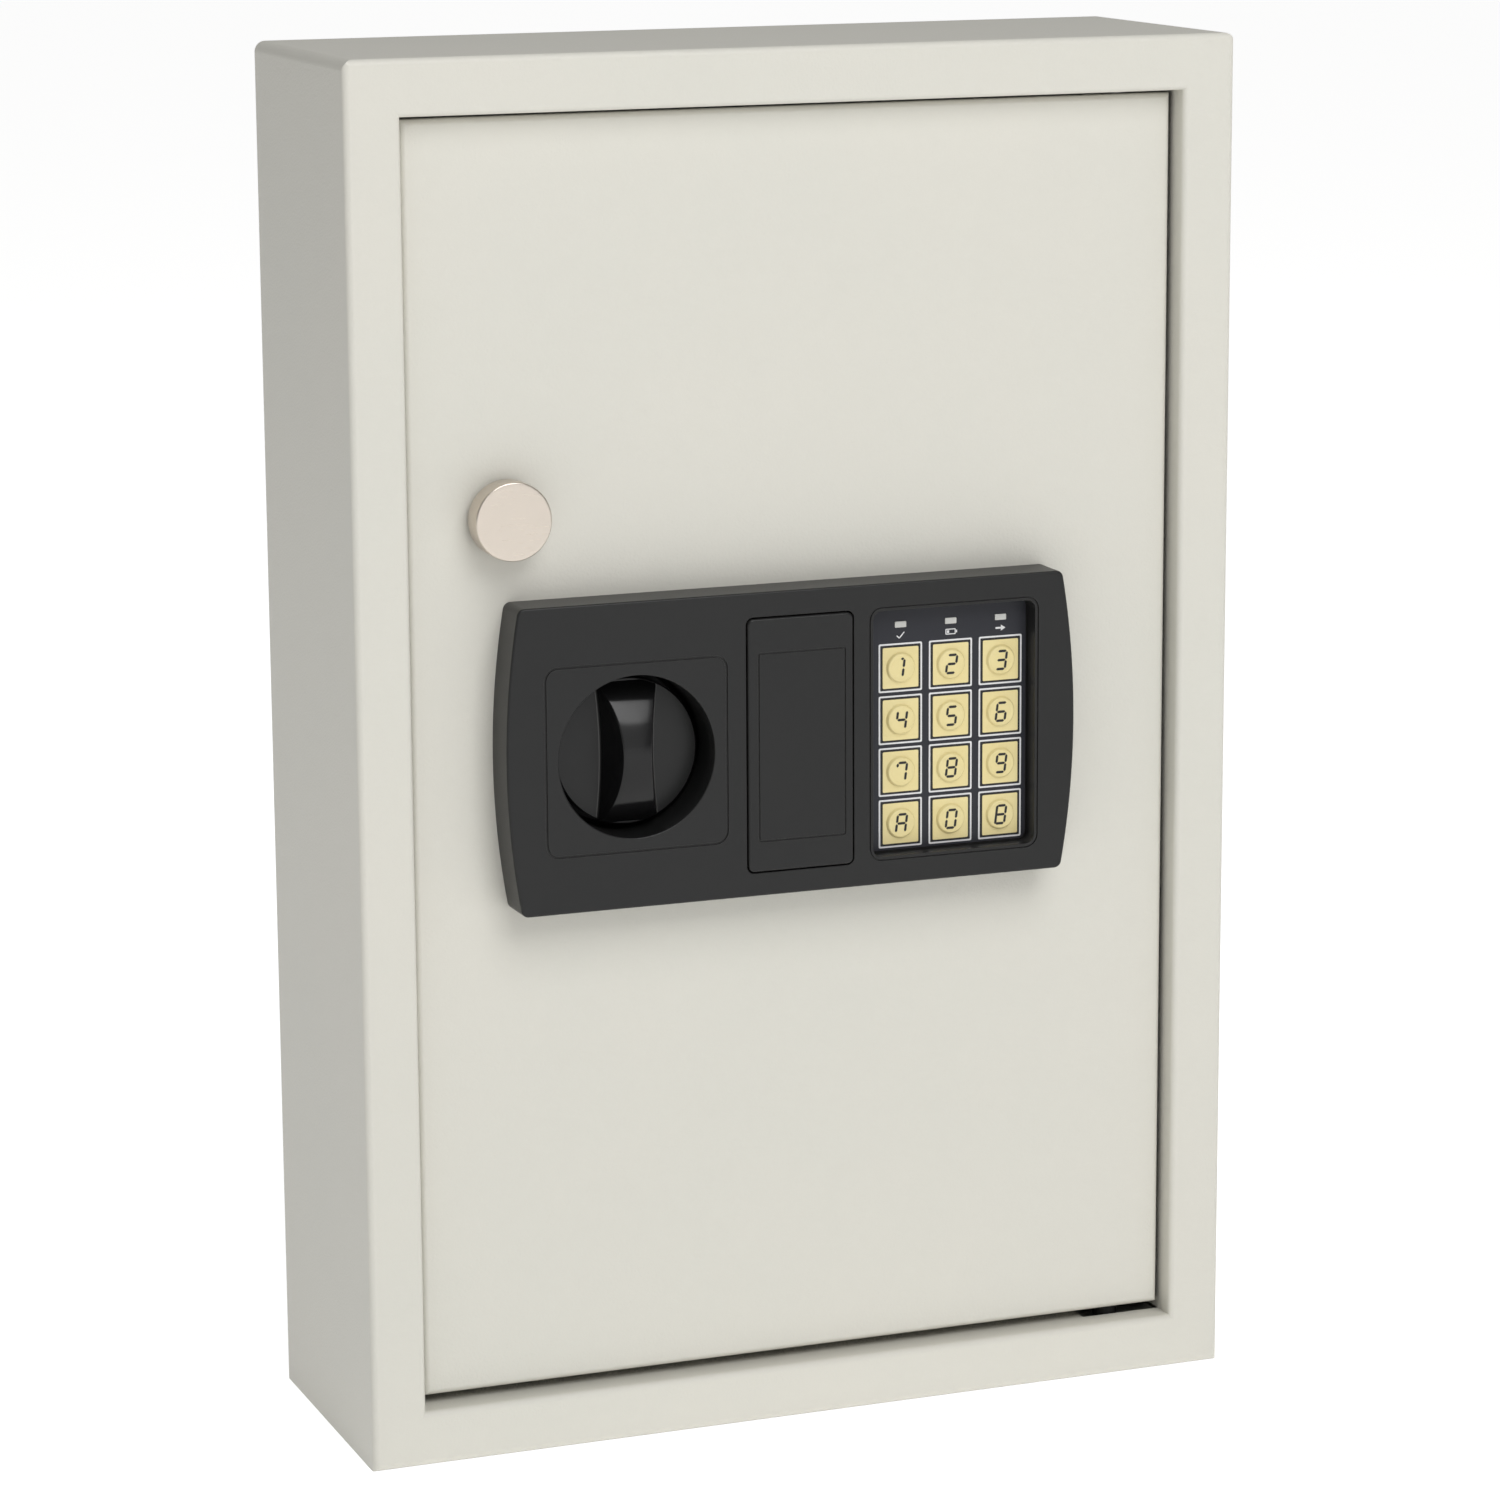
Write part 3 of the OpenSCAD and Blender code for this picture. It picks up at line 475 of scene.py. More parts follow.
paintDust = colour(0.10, 0.09, 0.07)
paints = {
    "keyGold": {"base": colour(0.80, 0.675, 0.315), "other": colour(0.84, 0.73, 0.38),
                "roughness": (0.26, 0.38), "grain": 2600.0},
    "printWhite": {"base": colour(0.78, 0.78, 0.78), "other": colour(0.72, 0.72, 0.73),
                   "roughness": (0.4, 0.5), "grain": 5000.0},
    "printBlack": {"base": colour(0.006, 0.006, 0.007), "other": colour(0.009, 0.009, 0.01),
                   "roughness": (0.32, 0.42), "grain": 5000.0},
    "ledLens": {"base": colour(0.66, 0.66, 0.62), "other": colour(0.58, 0.58, 0.56),
                "roughness": (0.15, 0.25), "grain": 2200.0},
    "stripWhite": {"base": colour(0.82, 0.82, 0.80), "other": colour(0.76, 0.75, 0.72),
                   "roughness": (0.45, 0.6), "grain": 3000.0},
    "bumperRubber": {"base": colour(0.03, 0.03, 0.03), "other": colour(0.045, 0.044, 0.042),
                     "roughness": (0.7, 0.85), "grain": 1800.0},
    "boardGreen": {"base": colour(0.02, 0.12, 0.05), "other": colour(0.03, 0.16, 0.07),
                   "roughness": (0.3, 0.45), "grain": 1500.0},
    "coilYoke": {"base": colour(0.34, 0.27, 0.12), "other": colour(0.40, 0.33, 0.18),
                 "roughness": (0.35, 0.5), "grain": 1200.0},
    "cellSleeve": {"base": colour(0.05, 0.06, 0.09), "other": colour(0.07, 0.08, 0.11),
                   "roughness": (0.2, 0.3), "grain": 900.0},
    "buttonRed": {"base": colour(0.45, 0.03, 0.025), "other": colour(0.52, 0.05, 0.04),
                  "roughness": (0.25, 0.35), "grain": 2000.0},
    "coverGrey": {"base": colour(0.115, 0.117, 0.12), "other": colour(0.135, 0.135, 0.135),
                  "roughness": (0.42, 0.56), "grain": 1100.0}}


def makePaint(name, look):
    material, tree, shader = startMaterial(name, 0.4)
    grain = placeGroup(tree, "orangePeel", **{"Dimple Scale": look["grain"], "Fine Share": 0.4})
    mottle = placeGroup(tree, "mottle", Base=look["base"], Other=look["other"], Amount=0.8,
                        **{"Patch Scale": 60.0})
    dust = placeGroup(tree, "cornerDustAndGapShade", Reach=0.0015, Strength=0.25)
    dusted = mixInto(tree, dust.outputs["Mask"], mottle.outputs["Color"], paintDust)
    tree.links.new(dusted, shader.inputs["Base Color"])
    low, high = look["roughness"]
    tree.links.new(rangeOf(tree, grain.outputs["Speckle"], low, high), shader.inputs["Roughness"])
    addBump(tree, shader, grain.outputs["Height"], 0.08, 0.00012)
    return material


coat = makePowderCoat("powderCoat", powderCoat)
plastics = {name: makeMouldedPlastic(name + "Plastic", look)
            for name, look in mouldedPlastic.items()}
blackGloss = makeKnobGloss("knobGloss", knobGloss)
metal = {name: makeMetal(name, look) for name, look in metals.items()}
paint = {name: makePaint(name, look) for name, look in paints.items()}
print("finishes made:", 2 + len(plastics) + len(metal) + len(paint))

# which finish each part that keeps its own shape takes
finishOfSlot = {
    "powder_coat": coat, "zinc_steel": metal["zincPlate"], "bright_steel": metal["brightSteel"],
    "screw_zinc": metal["screwZinc"], "satin_nickel": metal["satinNickel"],
    "lock_brass": metal["lockBrass"],
    "bumper_rubber": paint["bumperRubber"], "strip_white": paint["stripWhite"],
    "panel_charcoal": plastics["panel"], "film_slate": plastics["film"], "led_lens": paint["ledLens"],
    "key_gold": paint["keyGold"], "board_green": paint["boardGreen"], "solenoid_case": paint["coilYoke"],
    "cover_grey": paint["coverGrey"], "plastic_black": plastics["black"], "knob_black": blackGloss,
    "cell_wrap": paint["cellSleeve"], "button_red": paint["buttonRed"]}
slotOfNode = {part["node"]: part["material_slot"] for part in frame["record"]["subparts"]}


def dressParts():
    for name, part in nodes.items():
        finish = finishOfSlot[slotOfNode[name]]
        for place in part.material_slots:
            place.material = finish
        if not part.material_slots:
            part.data.materials.append(finish)


dressParts()
print("parts dressed")


# where the pieces of the lock panel sit
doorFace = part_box("door_panel")[0].y
panelLow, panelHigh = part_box("panel_housing")
knobLow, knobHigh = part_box("turn_knob")
coverLow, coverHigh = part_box("override_cover")
filmLow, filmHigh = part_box("keypad_film")
plugLow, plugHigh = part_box("override_plug")
knobCentre = middleOf(knobLow, knobHigh)
coverCentre = middleOf(coverLow, coverHigh)
filmCentre = middleOf(filmLow, filmHigh)
plugCentre = middleOf(plugLow, plugHigh)

panelLook = {
    "bow": 4.5 * mm, "corner": 2.5 * mm, "edge": 0.8 * mm, "wellRadius": 26.2 * mm, "wellWall": 2.5 * mm,
    "wellRim": 0.5 * mm, "squareSize": 61.5 * mm, "squareCorner": 4.5 * mm, "squareGroove": 0.7 * mm,
    "grooveDepth": 0.6 * mm, "grooveRim": 0.18 * mm, "pocketGap": 0.4 * mm, "pocketDepth": 7.5 * mm,
    "pocketCorner": 2.4 * mm, "pocketRim": 0.45 * mm, "padMargin": 0.5 * mm, "padDepth": 7.1 * mm,
    "padCorner": 3 * mm, "padRim": 0.16 * mm, "padLine": 1.3 * mm, "padLineWidth": 0.4 * mm,
    "lockHole": 9.3 * mm, "wellFloor": 2 * mm, "shaftHole": 4.06 * mm}
onPlane = 0.01 * mm  # how near a point lies to a plane to count as on it


def panelOutline(look):
    # both sides bow out as arcs; the corners are tangent to the arcs
    halfW = (panelHigh.x - panelLow.x) / 2
    halfH = (panelHigh.z - panelLow.z) / 2
    centreX = (panelHigh.x + panelLow.x) / 2
    centreZ = (panelHigh.z + panelLow.z) / 2
    big = (halfH ** 2 + look["bow"] ** 2) / (2 * look["bow"])
    side = halfW - big
    corner = look["corner"]
    reach = math.sqrt((big - corner) ** 2 - (halfH - corner) ** 2)
    tilt = math.degrees(math.atan2(halfH - corner, reach))
    right = arcPoints((side + reach, -(halfH - corner)), corner, -90, -tilt, 6)
    right += arcPoints((side, 0), big, -tilt, tilt, 48)[1:-1]
    right += arcPoints((side + reach, halfH - corner), corner, tilt, 90, 6)
    left = [(-x, -z) for x, z in right]
    return [(centreX + x, centreZ + z) for x, z in right + left]


def isWithin(at, y, centre, size):
    # on the plane at y and inside a rectangle, or on its edge
    near = (abs(at.x - centre[0]) < size[0] / 2 + 0.1 * mm
            and abs(at.z - centre[1]) < size[1] / 2 + 0.1 * mm)
    return abs(at.y - y) < onPlane and near


def makePanelHousing(look):
    front, back = panelLow.y, doorFace
    bm = bmesh.new()
    addSlab(bm, panelOutline(look), front, back)
    piece = finishMesh("panelHousing", bm, plastics["panel"])
    softenRim(piece, lambda at: abs(at.y - front) < onPlane, look["edge"], 4)
    cutAway(piece, ring(look["wellRadius"], knobCentre, 128), front - mm, back + mm)
    size, wide = look["squareSize"], look["squareGroove"]
    cutAway(piece, roundRect(size, size, look["squareCorner"], knobCentre),
            front - mm, front + look["grooveDepth"],
            hole=roundRect(size - 2 * wide, size - 2 * wide, look["squareCorner"] - wide, knobCentre))
    gap = look["pocketGap"]
    pocket = (coverHigh.x - coverLow.x + 2 * gap, coverHigh.z - coverLow.z + 2 * gap)
    cutAway(piece, roundRect(*pocket, look["pocketCorner"], coverCentre),
            front - mm, front + look["pocketDepth"])
    cutAway(piece, ring(look["lockHole"], plugCentre, 48), front, back + mm)
    margin = 2 * look["padMargin"]
    pad = (filmHigh.x - filmLow.x + margin, filmHigh.z - filmLow.z + margin)
    cutAway(piece, roundRect(*pad, look["padCorner"], filmCentre),
            front - mm, front + look["padDepth"])
    # a fine groove runs round the keypad recess
    line, lineWidth = look["padLine"], look["padLineWidth"]
    outer, inner = 2 * line, 2 * (line - lineWidth)
    ringed = (pad[0] + outer, pad[1] + outer)
    cutAway(piece, roundRect(*ringed, look["padCorner"] + line, filmCentre),
            front - mm, front + look["grooveDepth"],
            hole=roundRect(pad[0] + inner, pad[1] + inner, look["padCorner"] + line - lineWidth,
                           filmCentre))

    def inWell(at):
        away = math.hypot(at.x - knobCentre[0], at.z - knobCentre[1])
        return abs(at.y - front) < onPlane and abs(away - look["wellRadius"]) < 0.3 * mm

    def inGroove(at):
        away = max(abs(at.x - knobCentre[0]), abs(at.z - knobCentre[1]))
        return abs(at.y - front) < onPlane and abs(away - size / 2) < 1.2 * wide + 0.8 * mm

    softenRim(piece, inWell, look["wellRim"])
    softenRim(piece, lambda at: isWithin(at, front, filmCentre, ringed), look["padRim"])
    softenRim(piece, inGroove, look["grooveRim"], 2)
    softenRim(piece, lambda at: isWithin(at, front, coverCentre, pocket), look["pocketRim"], 2)
    keepFlatsFlat(piece)
    return addPiece(piece, "door", "panel_charcoal", "panel_housing")


# the well's wall and floor take the darker black plastic instead of the panel's own, as painted shade in
# the well
def makeWellCup(look):
    inner, outer = look["wellRadius"], look["wellRadius"] + look["wellWall"]
    floor, back = panelHigh.y - look["wellFloor"], panelHigh.y
    hole = look["shaftHole"]
    bm = bmesh.new()
    addTurned(bm, [(hole, floor), (inner - mm, floor), (inner, floor - mm), (inner, doorFace),
                   (outer, doorFace), (outer, back - mm), (outer - mm, back), (hole, back), (hole, floor)],
              knobCentre, 128)
    bmesh.ops.remove_doubles(bm, verts=bm.verts, dist=1e-7)
    return addPiece(finishMesh("knobWell", bm, plastics["black"]), "door", "panel_charcoal")


makePanelHousing(panelLook)
makeWellCup(panelLook)
print("lock panel made")


knobLook = {
    "discDepth": 10.5 * mm, "discThick": 4 * mm, "discEdge": 0.45 * mm, "hub": 9 * mm, "crest": 4.7 * mm,
    "foot": 8.8 * mm, "flank": 172 * mm, "arch": 30.6 * mm, "endFoot": 23 * mm, "endSlope": 1.214,
    "edge": 0.5 * mm, "fillet": 0.6 * mm, "crown": 0.22 * mm, "shoulder": 0.7 * mm,
    "stations": 132, "footSteps": 6, "topSteps": 4, "sink": 0.01 * mm}


def gripHeight(along, full, look):
    arch = full - look["arch"] + math.sqrt(look["arch"] ** 2 - along ** 2)
    slope = (look["endFoot"] - abs(along)) * look["endSlope"]
    # the arch and the end slope run into each other with a soft shoulder
    gap = arch - slope
    return (arch + slope - math.sqrt(gap ** 2 + look["shoulder"] ** 2)) / 2


def gripHalfWidth(along, height, full, look):
    lean = (look["foot"] - look["crest"]) * (1 - height / full)
    return look["crest"] + lean + along ** 2 / (2 * look["flank"])


def roundedCorner(start, corner, end, steps):
    points = []
    for k in range(steps + 1):
        t = k / steps
        points.append(tuple((1 - t) ** 2 * a + 2 * t * (1 - t) * b + t ** 2 * c
                            for a, b, c in zip(start, corner, end)))
    return points


def gripSection(along, full, radius, look):
    # one cross section of the grip: (half width, height) from the disc up, over the top and down
    tall = max(gripHeight(along, full, look), 0.04 * mm)
    limit = math.sqrt(max((radius - look["discEdge"]) ** 2 - along ** 2, 0))
    low = min(gripHalfWidth(along, 0, full, look), limit)
    high = min(gripHalfWidth(along, tall, full, look), low - 0.02 * mm)
    fillet = min(look["fillet"], tall * 0.5, max(limit - low, 0.02 * mm))
    edge = min(look["edge"], tall * 0.4)
    wall = math.hypot(high - low, tall)
    wallX, wallH = (high - low) / wall, tall / wall
    side = roundedCorner((low + fillet, 0), (low, 0), (low + wallX * fillet, wallH * fillet),
                         look["footSteps"])
    side += roundedCorner((high - wallX * edge, tall - wallH * edge), (high, tall),
                          (high - edge, tall), look["topSteps"])
    crown = look["crown"] * min(1, tall / full)
    side += [((high - edge) * k, tall + crown * (1 - k * k)) for k in (0.75, 0.5, 0.25)]
    return side + [(0, tall + crown)] + [(-x, h) for x, h in reversed(side)]


def makeTurnKnob(look):
    discFront = panelLow.y + look["discDepth"]
    discBack = discFront + look["discThick"]
    radius = (knobHigh.x - knobLow.x) / 2
    edge = look["discEdge"]
    rim = arcPoints((radius - edge, discFront + edge), edge, -90, 0, 5)
    bm = bmesh.new()
    face = [(0, discFront), (radius * 0.6, discFront)]
    behind = [(radius, discBack), (look["hub"], discBack), (look["hub"], knobHigh.y),
              (0, knobHigh.y)]
    addTurned(bm, face + rim + behind, knobCentre, 160)
    disc = finishMesh("knobDisc", bm, plastics["panel"])
    disc.data.materials.append(blackGloss)
    for face in disc.data.polygons:
        out = math.hypot(face.center.x - knobCentre[0], face.center.z - knobCentre[1])
        if out > radius - edge:
            face.material_index = 1
    addPiece(disc, "knob", "knob_black", "turn_knob")
    full = discFront - knobLow.y
    bm = bmesh.new()
    rows = []
    for i in range(look["stations"] + 1):
        # stations crowd towards both ends, where the shape turns fastest
        along = look["endFoot"] * math.sin(math.pi * (i / look["stations"] - 0.5)) * 0.999
        rows.append([
            bm.verts.new((knobCentre[0] + x, discFront - h + look["sink"], knobCentre[1] + along))
            for x, h in gripSection(along, full, radius, look)])
    for a, b in zip(rows, rows[1:]):
        for k in range(len(a) - 1):
            # the soft foot keeps the disc's finish, and the rest is glossy
            inFoot = k < look["footSteps"] or k >= len(a) - 1 - look["footSteps"]
            bm.faces.new((a[k], a[k + 1], b[k + 1], b[k])).material_index = 1 if inFoot else 0
        bm.faces.new((a[-1], a[0], b[0], b[-1]))
    bm.faces.new(rows[0][::-1])
    bm.faces.new(rows[-1])
    grip = finishMesh("knobGrip", bm, blackGloss, 40)
    grip.data.materials.append(plastics["panel"])
    addPiece(grip, "knob", "knob_black")


makeTurnKnob(knobLook)


overrideLook = {
    "corner": 2 * mm, "edge": 0.8 * mm, "thick": 2.5 * mm, "lineSize": (30.2 * mm, 61.7 * mm),
    "lineShift": (0.35 * mm, -0.6 * mm), "lineWidth": 0.55 * mm, "lineDepth": 0.5 * mm,
    "lineCorner": 1 * mm, "lineRim": 0.16 * mm, "clipSize": (10 * mm, 1.6 * mm), "clipInset": 2 * mm}


def makeOverrideCover(look):
    front = coverLow.y
    width, height = coverHigh.x - coverLow.x, coverHigh.z - coverLow.z
    bm = bmesh.new()
    addSlab(bm, roundRect(width, height, look["corner"], coverCentre), front, front + look["thick"])
    for side in (-1, 1):
        z = coverCentre[1] + side * (height / 2 - look["clipInset"])
        addSlab(bm, roundRect(*look["clipSize"], 0.3 * mm, (coverCentre[0], z), 3),
                front + look["thick"] - 0.2 * mm, coverHigh.y)
    piece = finishMesh("overrideCover", bm, plastics["panel"])
    softenRim(piece, lambda at: abs(at.y - front) < onPlane, look["edge"], 3)
    middle = (coverCentre[0] + look["lineShift"][0], coverCentre[1] + look["lineShift"][1])
    lineW, lineH = look["lineSize"]
    wide = look["lineWidth"]
    cutAway(piece, roundRect(lineW, lineH, look["lineCorner"], middle),
            front - mm, front + look["lineDepth"],
            hole=roundRect(lineW - 2 * wide, lineH - 2 * wide, look["lineCorner"] / 2, middle))
    softenRim(piece, lambda at: isWithin(at, front, middle, look["lineSize"]), look["lineRim"], 2)
    keepFlatsFlat(piece)
    return addPiece(piece, "override_cover", "panel_charcoal", "override_cover")


makeOverrideCover(overrideLook)
print("turn knob and override cover made")


# segments lit for each sign: a top, b c right, d foot, e f left, g middle,
# h short top, i short left, j the whole left side
segmentsOf = {
    "0": "abcdef", "1": "hbc", "2": "abged", "3": "abgcd", "4": "fgbc", "5": "afgcd", "6": "afgedc",
    "7": "iabc", "8": "abcdefg", "9": "abcdfg", "A": "abcefg", "B": "abcdgj"}
signLook = {
    "width": 3.2 * mm, "height": 5.9 * mm, "stroke": 0.82 * mm, "slant": 0.13, "thick": 0.05 * mm,
    "gap": 0.13 * mm, "overrun": 0.3 * mm}


def addBar(bm, start, end, stroke, slant, base, y, thick):
    # a bar with pointed ends between two points of the upright cell, leaned over by slant
    start, end = Vector(start), Vector(end)
    run = (end - start).normalized()
    across = Vector((-run.y, run.x)) * stroke / 2
    tip = run * stroke / 2
    corners = [start, start + tip + across, end - tip + across,
               end, end - tip - across, start + tip - across]
    leaned = [(base[0] + c.x + slant * c.y, base[1] + c.y) for c in corners]
    addSlab(bm, leaned, y, y + thick)


def addSign(bm, sign, base, y, look, scale=1.0):
    w, h = look["width"] * scale / 2, look["height"] * scale / 2
    gap = look["gap"] * scale
    tall = h + look["overrun"]
    ends = {"a": ((-w, h), (w, h)), "g": ((-w, 0), (w, 0)), "d": ((-w, -h), (w, -h)),
            "b": ((w, 0), (w, h)), "c": ((w, -h), (w, 0)),
            "e": ((-w, -h), (-w, 0)), "f": ((-w, 0), (-w, h)),
            "h": ((0.1 * w, h), (w, h)), "i": ((-w, 0.45 * h), (-w, h)), "j": ((-w, -tall), (-w, tall))}
    shift = -0.55 * w if sign == "1" else 0
    for segment in segmentsOf[sign]:
        (x0, z0), (x1, z1) = ends[segment]
        if z0 == z1:
            x0, x1 = x0 + gap, x1 - gap
        else:
            z0, z1 = z0 + gap, z1 - gap
        addBar(bm, (x0 + shift, z0), (x1 + shift, z1), look["stroke"] * scale, look["slant"],
               base, y, look["thick"])


# the dome is given as (radius in mm, share of its height), from its foot to its dished middle
keyLook = {
    "dome": ((5.15, 0), (5.0, 0.12), (4.8, 0.5), (4.62, 0.84), (4.4, 0.98), (4.2, 1), (3.95, 0.93),
             (3.7, 0.85), (3.4, 0.82)),
    "domeFoot": 0.1 * mm, "corner": 0.4 * mm, "edge": 0.1 * mm, "proud": 0.12 * mm}
keyNames = ["key_1", "key_2", "key_3", "key_4", "key_5", "key_6", "key_7", "key_8", "key_9",
            "key_a", "key_0", "key_b"]


def makeKey(name, look):
    low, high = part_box(name)
    centre = middleOf(low, high)
    padFront = filmLow.y - look["proud"]
    bm = bmesh.new()
    addSlab(bm, roundRect(high.x - low.x, high.z - low.z, look["corner"], centre, 4),
            padFront, high.y)
    piece = finishMesh(name + "_cap", bm, paint["keyGold"])
    softenRim(piece, lambda at: abs(at.y - padFront) < onPlane, look["edge"], 3)
    bm = bmesh.new()
    bm.from_mesh(piece.data)
    rise = padFront - low.y
    dome = [(r * mm, padFront - rise * share) for r, share in look["dome"]]
    signFront = dome[-1][1] - signLook["thick"]
    foot = padFront + look["domeFoot"]
    addTurned(bm, [(0, foot), (dome[0][0], foot)] + dome + [(0, dome[-1][1])], centre, 64)
    bm.to_mesh(piece.data)
    bm.free()
    piece.data.shade_smooth()
    piece.data.set_sharp_from_angle(angle=math.radians(50))
    keepFlatsFlat(piece)
    addPiece(piece, name, "key_gold", name)
    bm = bmesh.new()
    addSign(bm, name[-1].upper(), centre, signFront, signLook)
    addPiece(finishMesh(name + "_sign", bm, paint["printBlack"]), name, "film_slate")


for keyName in keyNames:
    makeKey(keyName, keyLook)

printLook = {
    "line": 0.55 * mm, "outer": (15.2 * mm, 16.0 * mm), "outerCorner": 0.5 * mm,
    "innerCorner": 0.3 * mm, "overlap": 0.1 * mm, "thick": 0.04 * mm, "under": 0.01 * mm}


def makeKeypadPrint(look):
    y = filmLow.y - look["thick"]
    white, black = bmesh.new(), bmesh.new()
    for name in keyNames:
        low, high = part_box(name)
        centre = middleOf(low, high)
        outerW, outerH = look["outer"]
        innerW, innerH = outerW - 2 * look["line"], outerH - 2 * look["line"]
        windowW = high.x - low.x - 2 * look["overlap"]
        windowH = high.z - low.z - 2 * look["overlap"]
        inside = roundRect(innerW, innerH, look["innerCorner"], centre, 4)
        addSlab(white, roundRect(outerW, outerH, look["outerCorner"], centre, 4), y, filmLow.y, inside)
        addSlab(black, inside, y + look["under"], filmLow.y,
                roundRect(windowW, windowH, look["innerCorner"], centre, 4))
    addPiece(finishMesh("keyOutlines", white, paint["printWhite"]), "door", "strip_white")
    addPiece(finishMesh("keySurrounds", black, paint["printBlack"]), "door", "film_slate")


lightLook = {
    "width": 4 * mm, "corner": 0.3 * mm, "rim": 0.15 * mm, "iconDrop": 3.6 * mm,
    "line": 0.32 * mm, "thick": 0.04 * mm, "tick": ((-1.3 * mm, 0), (-0.3 * mm, -1.0 * mm),
                                                    (-0.45 * mm, -1.0 * mm), (1.4 * mm, 1.1 * mm)),
    "battery": (3.6 * mm, 1.9 * mm), "terminal": (0.4 * mm, 0.9 * mm, 2.1 * mm),
    "charge": (0.8 * mm, 0.9 * mm, -0.9 * mm), "shaft": (2.0 * mm, 0.6 * mm, -0.7 * mm),
    "head": ((0.2 * mm, -1.0 * mm), (1.8 * mm, 0), (0.2 * mm, 1.0 * mm))}


def makeLights(look):
    low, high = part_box("led_windows")
    columns = [middleOf(*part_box(name))[0] for name in keyNames[:3]]
    centreZ = (low.z + high.z) / 2
    lenses, icons = bmesh.new(), bmesh.new()
    for x in columns:
        addSlab(lenses, roundRect(look["width"], high.z - low.z, look["corner"], (x, centreZ), 4),
                low.y, high.y)
    piece = finishMesh("lightWindows", lenses, paint["ledLens"])
    softenRim(piece, lambda at: abs(at.y - low.y) < onPlane, look["rim"], 2)
    keepFlatsFlat(piece)
    addPiece(piece, "door", "led_lens", "led_windows")
    y, line, z = filmLow.y - look["thick"], look["line"], centreZ - look["iconDrop"]

    # a tick, a battery and an arrow
    tickX, batteryX, arrowX = columns
    for start, end in (look["tick"][:2], look["tick"][2:]):
        addBar(icons, start, end, line * 1.2, 0, (tickX, z), y, look["thick"])
    width, height = look["battery"]
    addSlab(icons, roundRect(width, height, look["corner"], (batteryX, z), 3), y, filmLow.y,
            roundRect(width - 2 * line, height - 2 * line, 0.1 * mm, (batteryX, z), 3))
    for x, part in ((batteryX, "terminal"), (batteryX, "charge"), (arrowX, "shaft")):
        width, height, along = look[part]
        addSlab(icons, roundRect(width, height, 0.1 * mm, (x + along, z), 3), y, filmLow.y)
    addSlab(icons, [(arrowX + dx, z + dz) for dx, dz in look["head"]], y, filmLow.y)
    addPiece(finishMesh("keypadIcons", icons, paint["printWhite"]), "door", "strip_white")


makeKeypadPrint(printLook)
makeLights(lightLook)
print("keypad made")


pullLook = {
    "neck": 8 * mm, "neckLength": 2.5 * mm, "edge": 0.55 * mm, "backEdge": 0.4 * mm,
    "dish": 0.05 * mm, "flat": 0.5 * mm}


def makePullKnob(look):
    low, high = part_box("pull_knob")
    centre = middleOf(low, high)
    radius, front, back = (high.x - low.x) / 2, low.y, high.y
    edge, backEdge = look["edge"], look["backEdge"]
    face = [(0, front + look["dish"]), (radius * 0.5, front + look["dish"] * 0.6),
            (radius - edge - look["flat"], front)]
    rim = arcPoints((radius - edge, front + edge), edge, -90, 0, 5)
    underside = back - look["neckLength"]
    under = arcPoints((radius - backEdge, underside - backEdge), backEdge, 0, 90, 4)
    neck = [(look["neck"], underside), (look["neck"], back), (0, back)]
    bm = bmesh.new()
    addTurned(bm, face + rim + under + neck, centre, 128)
    piece = finishMesh("pullKnob", bm, metal["satinNickel"], 25)
    return addPiece(piece, "door", "satin_nickel", "pull_knob")


makePullKnob(pullLook)
print("pull knob made")


# return spring of the blocking plunger
springLook = {"turns": 6, "coil": 3.1 * mm, "wire": 0.4 * mm, "stepsPerTurn": 24, "wireSides": 10,
              "travel": 5 * mm}


def makePlungerSpring(look):
    low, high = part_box("plunger_spring")
    centre = Vector(((low.x + high.x) / 2, (low.y + high.y) / 2, 0))
    steps = look["turns"] * look["stepsPerTurn"]
    wire, sides = look["wire"], look["wireSides"]
    bottom, rise = low.z + wire, high.z - low.z - 2 * wire
    roundWire = [math.radians(360 / sides * k) for k in range(sides)]
    bm = bmesh.new()
    rings = []
    for i in range(steps + 1):
        angle = 2 * math.pi * i / look["stepsPerTurn"]
        out = Vector((math.cos(angle), math.sin(angle), 0))
        at = centre + out * look["coil"] + Vector((0, 0, bottom + rise * i / steps))
        rings.append([bm.verts.new(at + out * wire * math.cos(b) + Vector((0, 0, wire * math.sin(b))))
                      for b in roundWire])
    for a, b in zip(rings, rings[1:]):
        for k in range(sides):
            n = (k + 1) % sides
            bm.faces.new((a[k], a[n], b[n], b[k]))
    bm.faces.new(rings[0][::-1])
    bm.faces.new(rings[-1])
    piece = finishMesh("returnSpring", bm, metal["brightSteel"])
    addPiece(piece, "door", "bright_steel", "plunger_spring")
    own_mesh(piece)


makePlungerSpring(springLook)


# numbers on the strips under the hooks
stripLook = {"hooks": 8, "pitch": 30 * mm, "size": 0.62, "rows": 6, "signPitch": 3.2 * mm,
             "proud": 0.04 * mm}


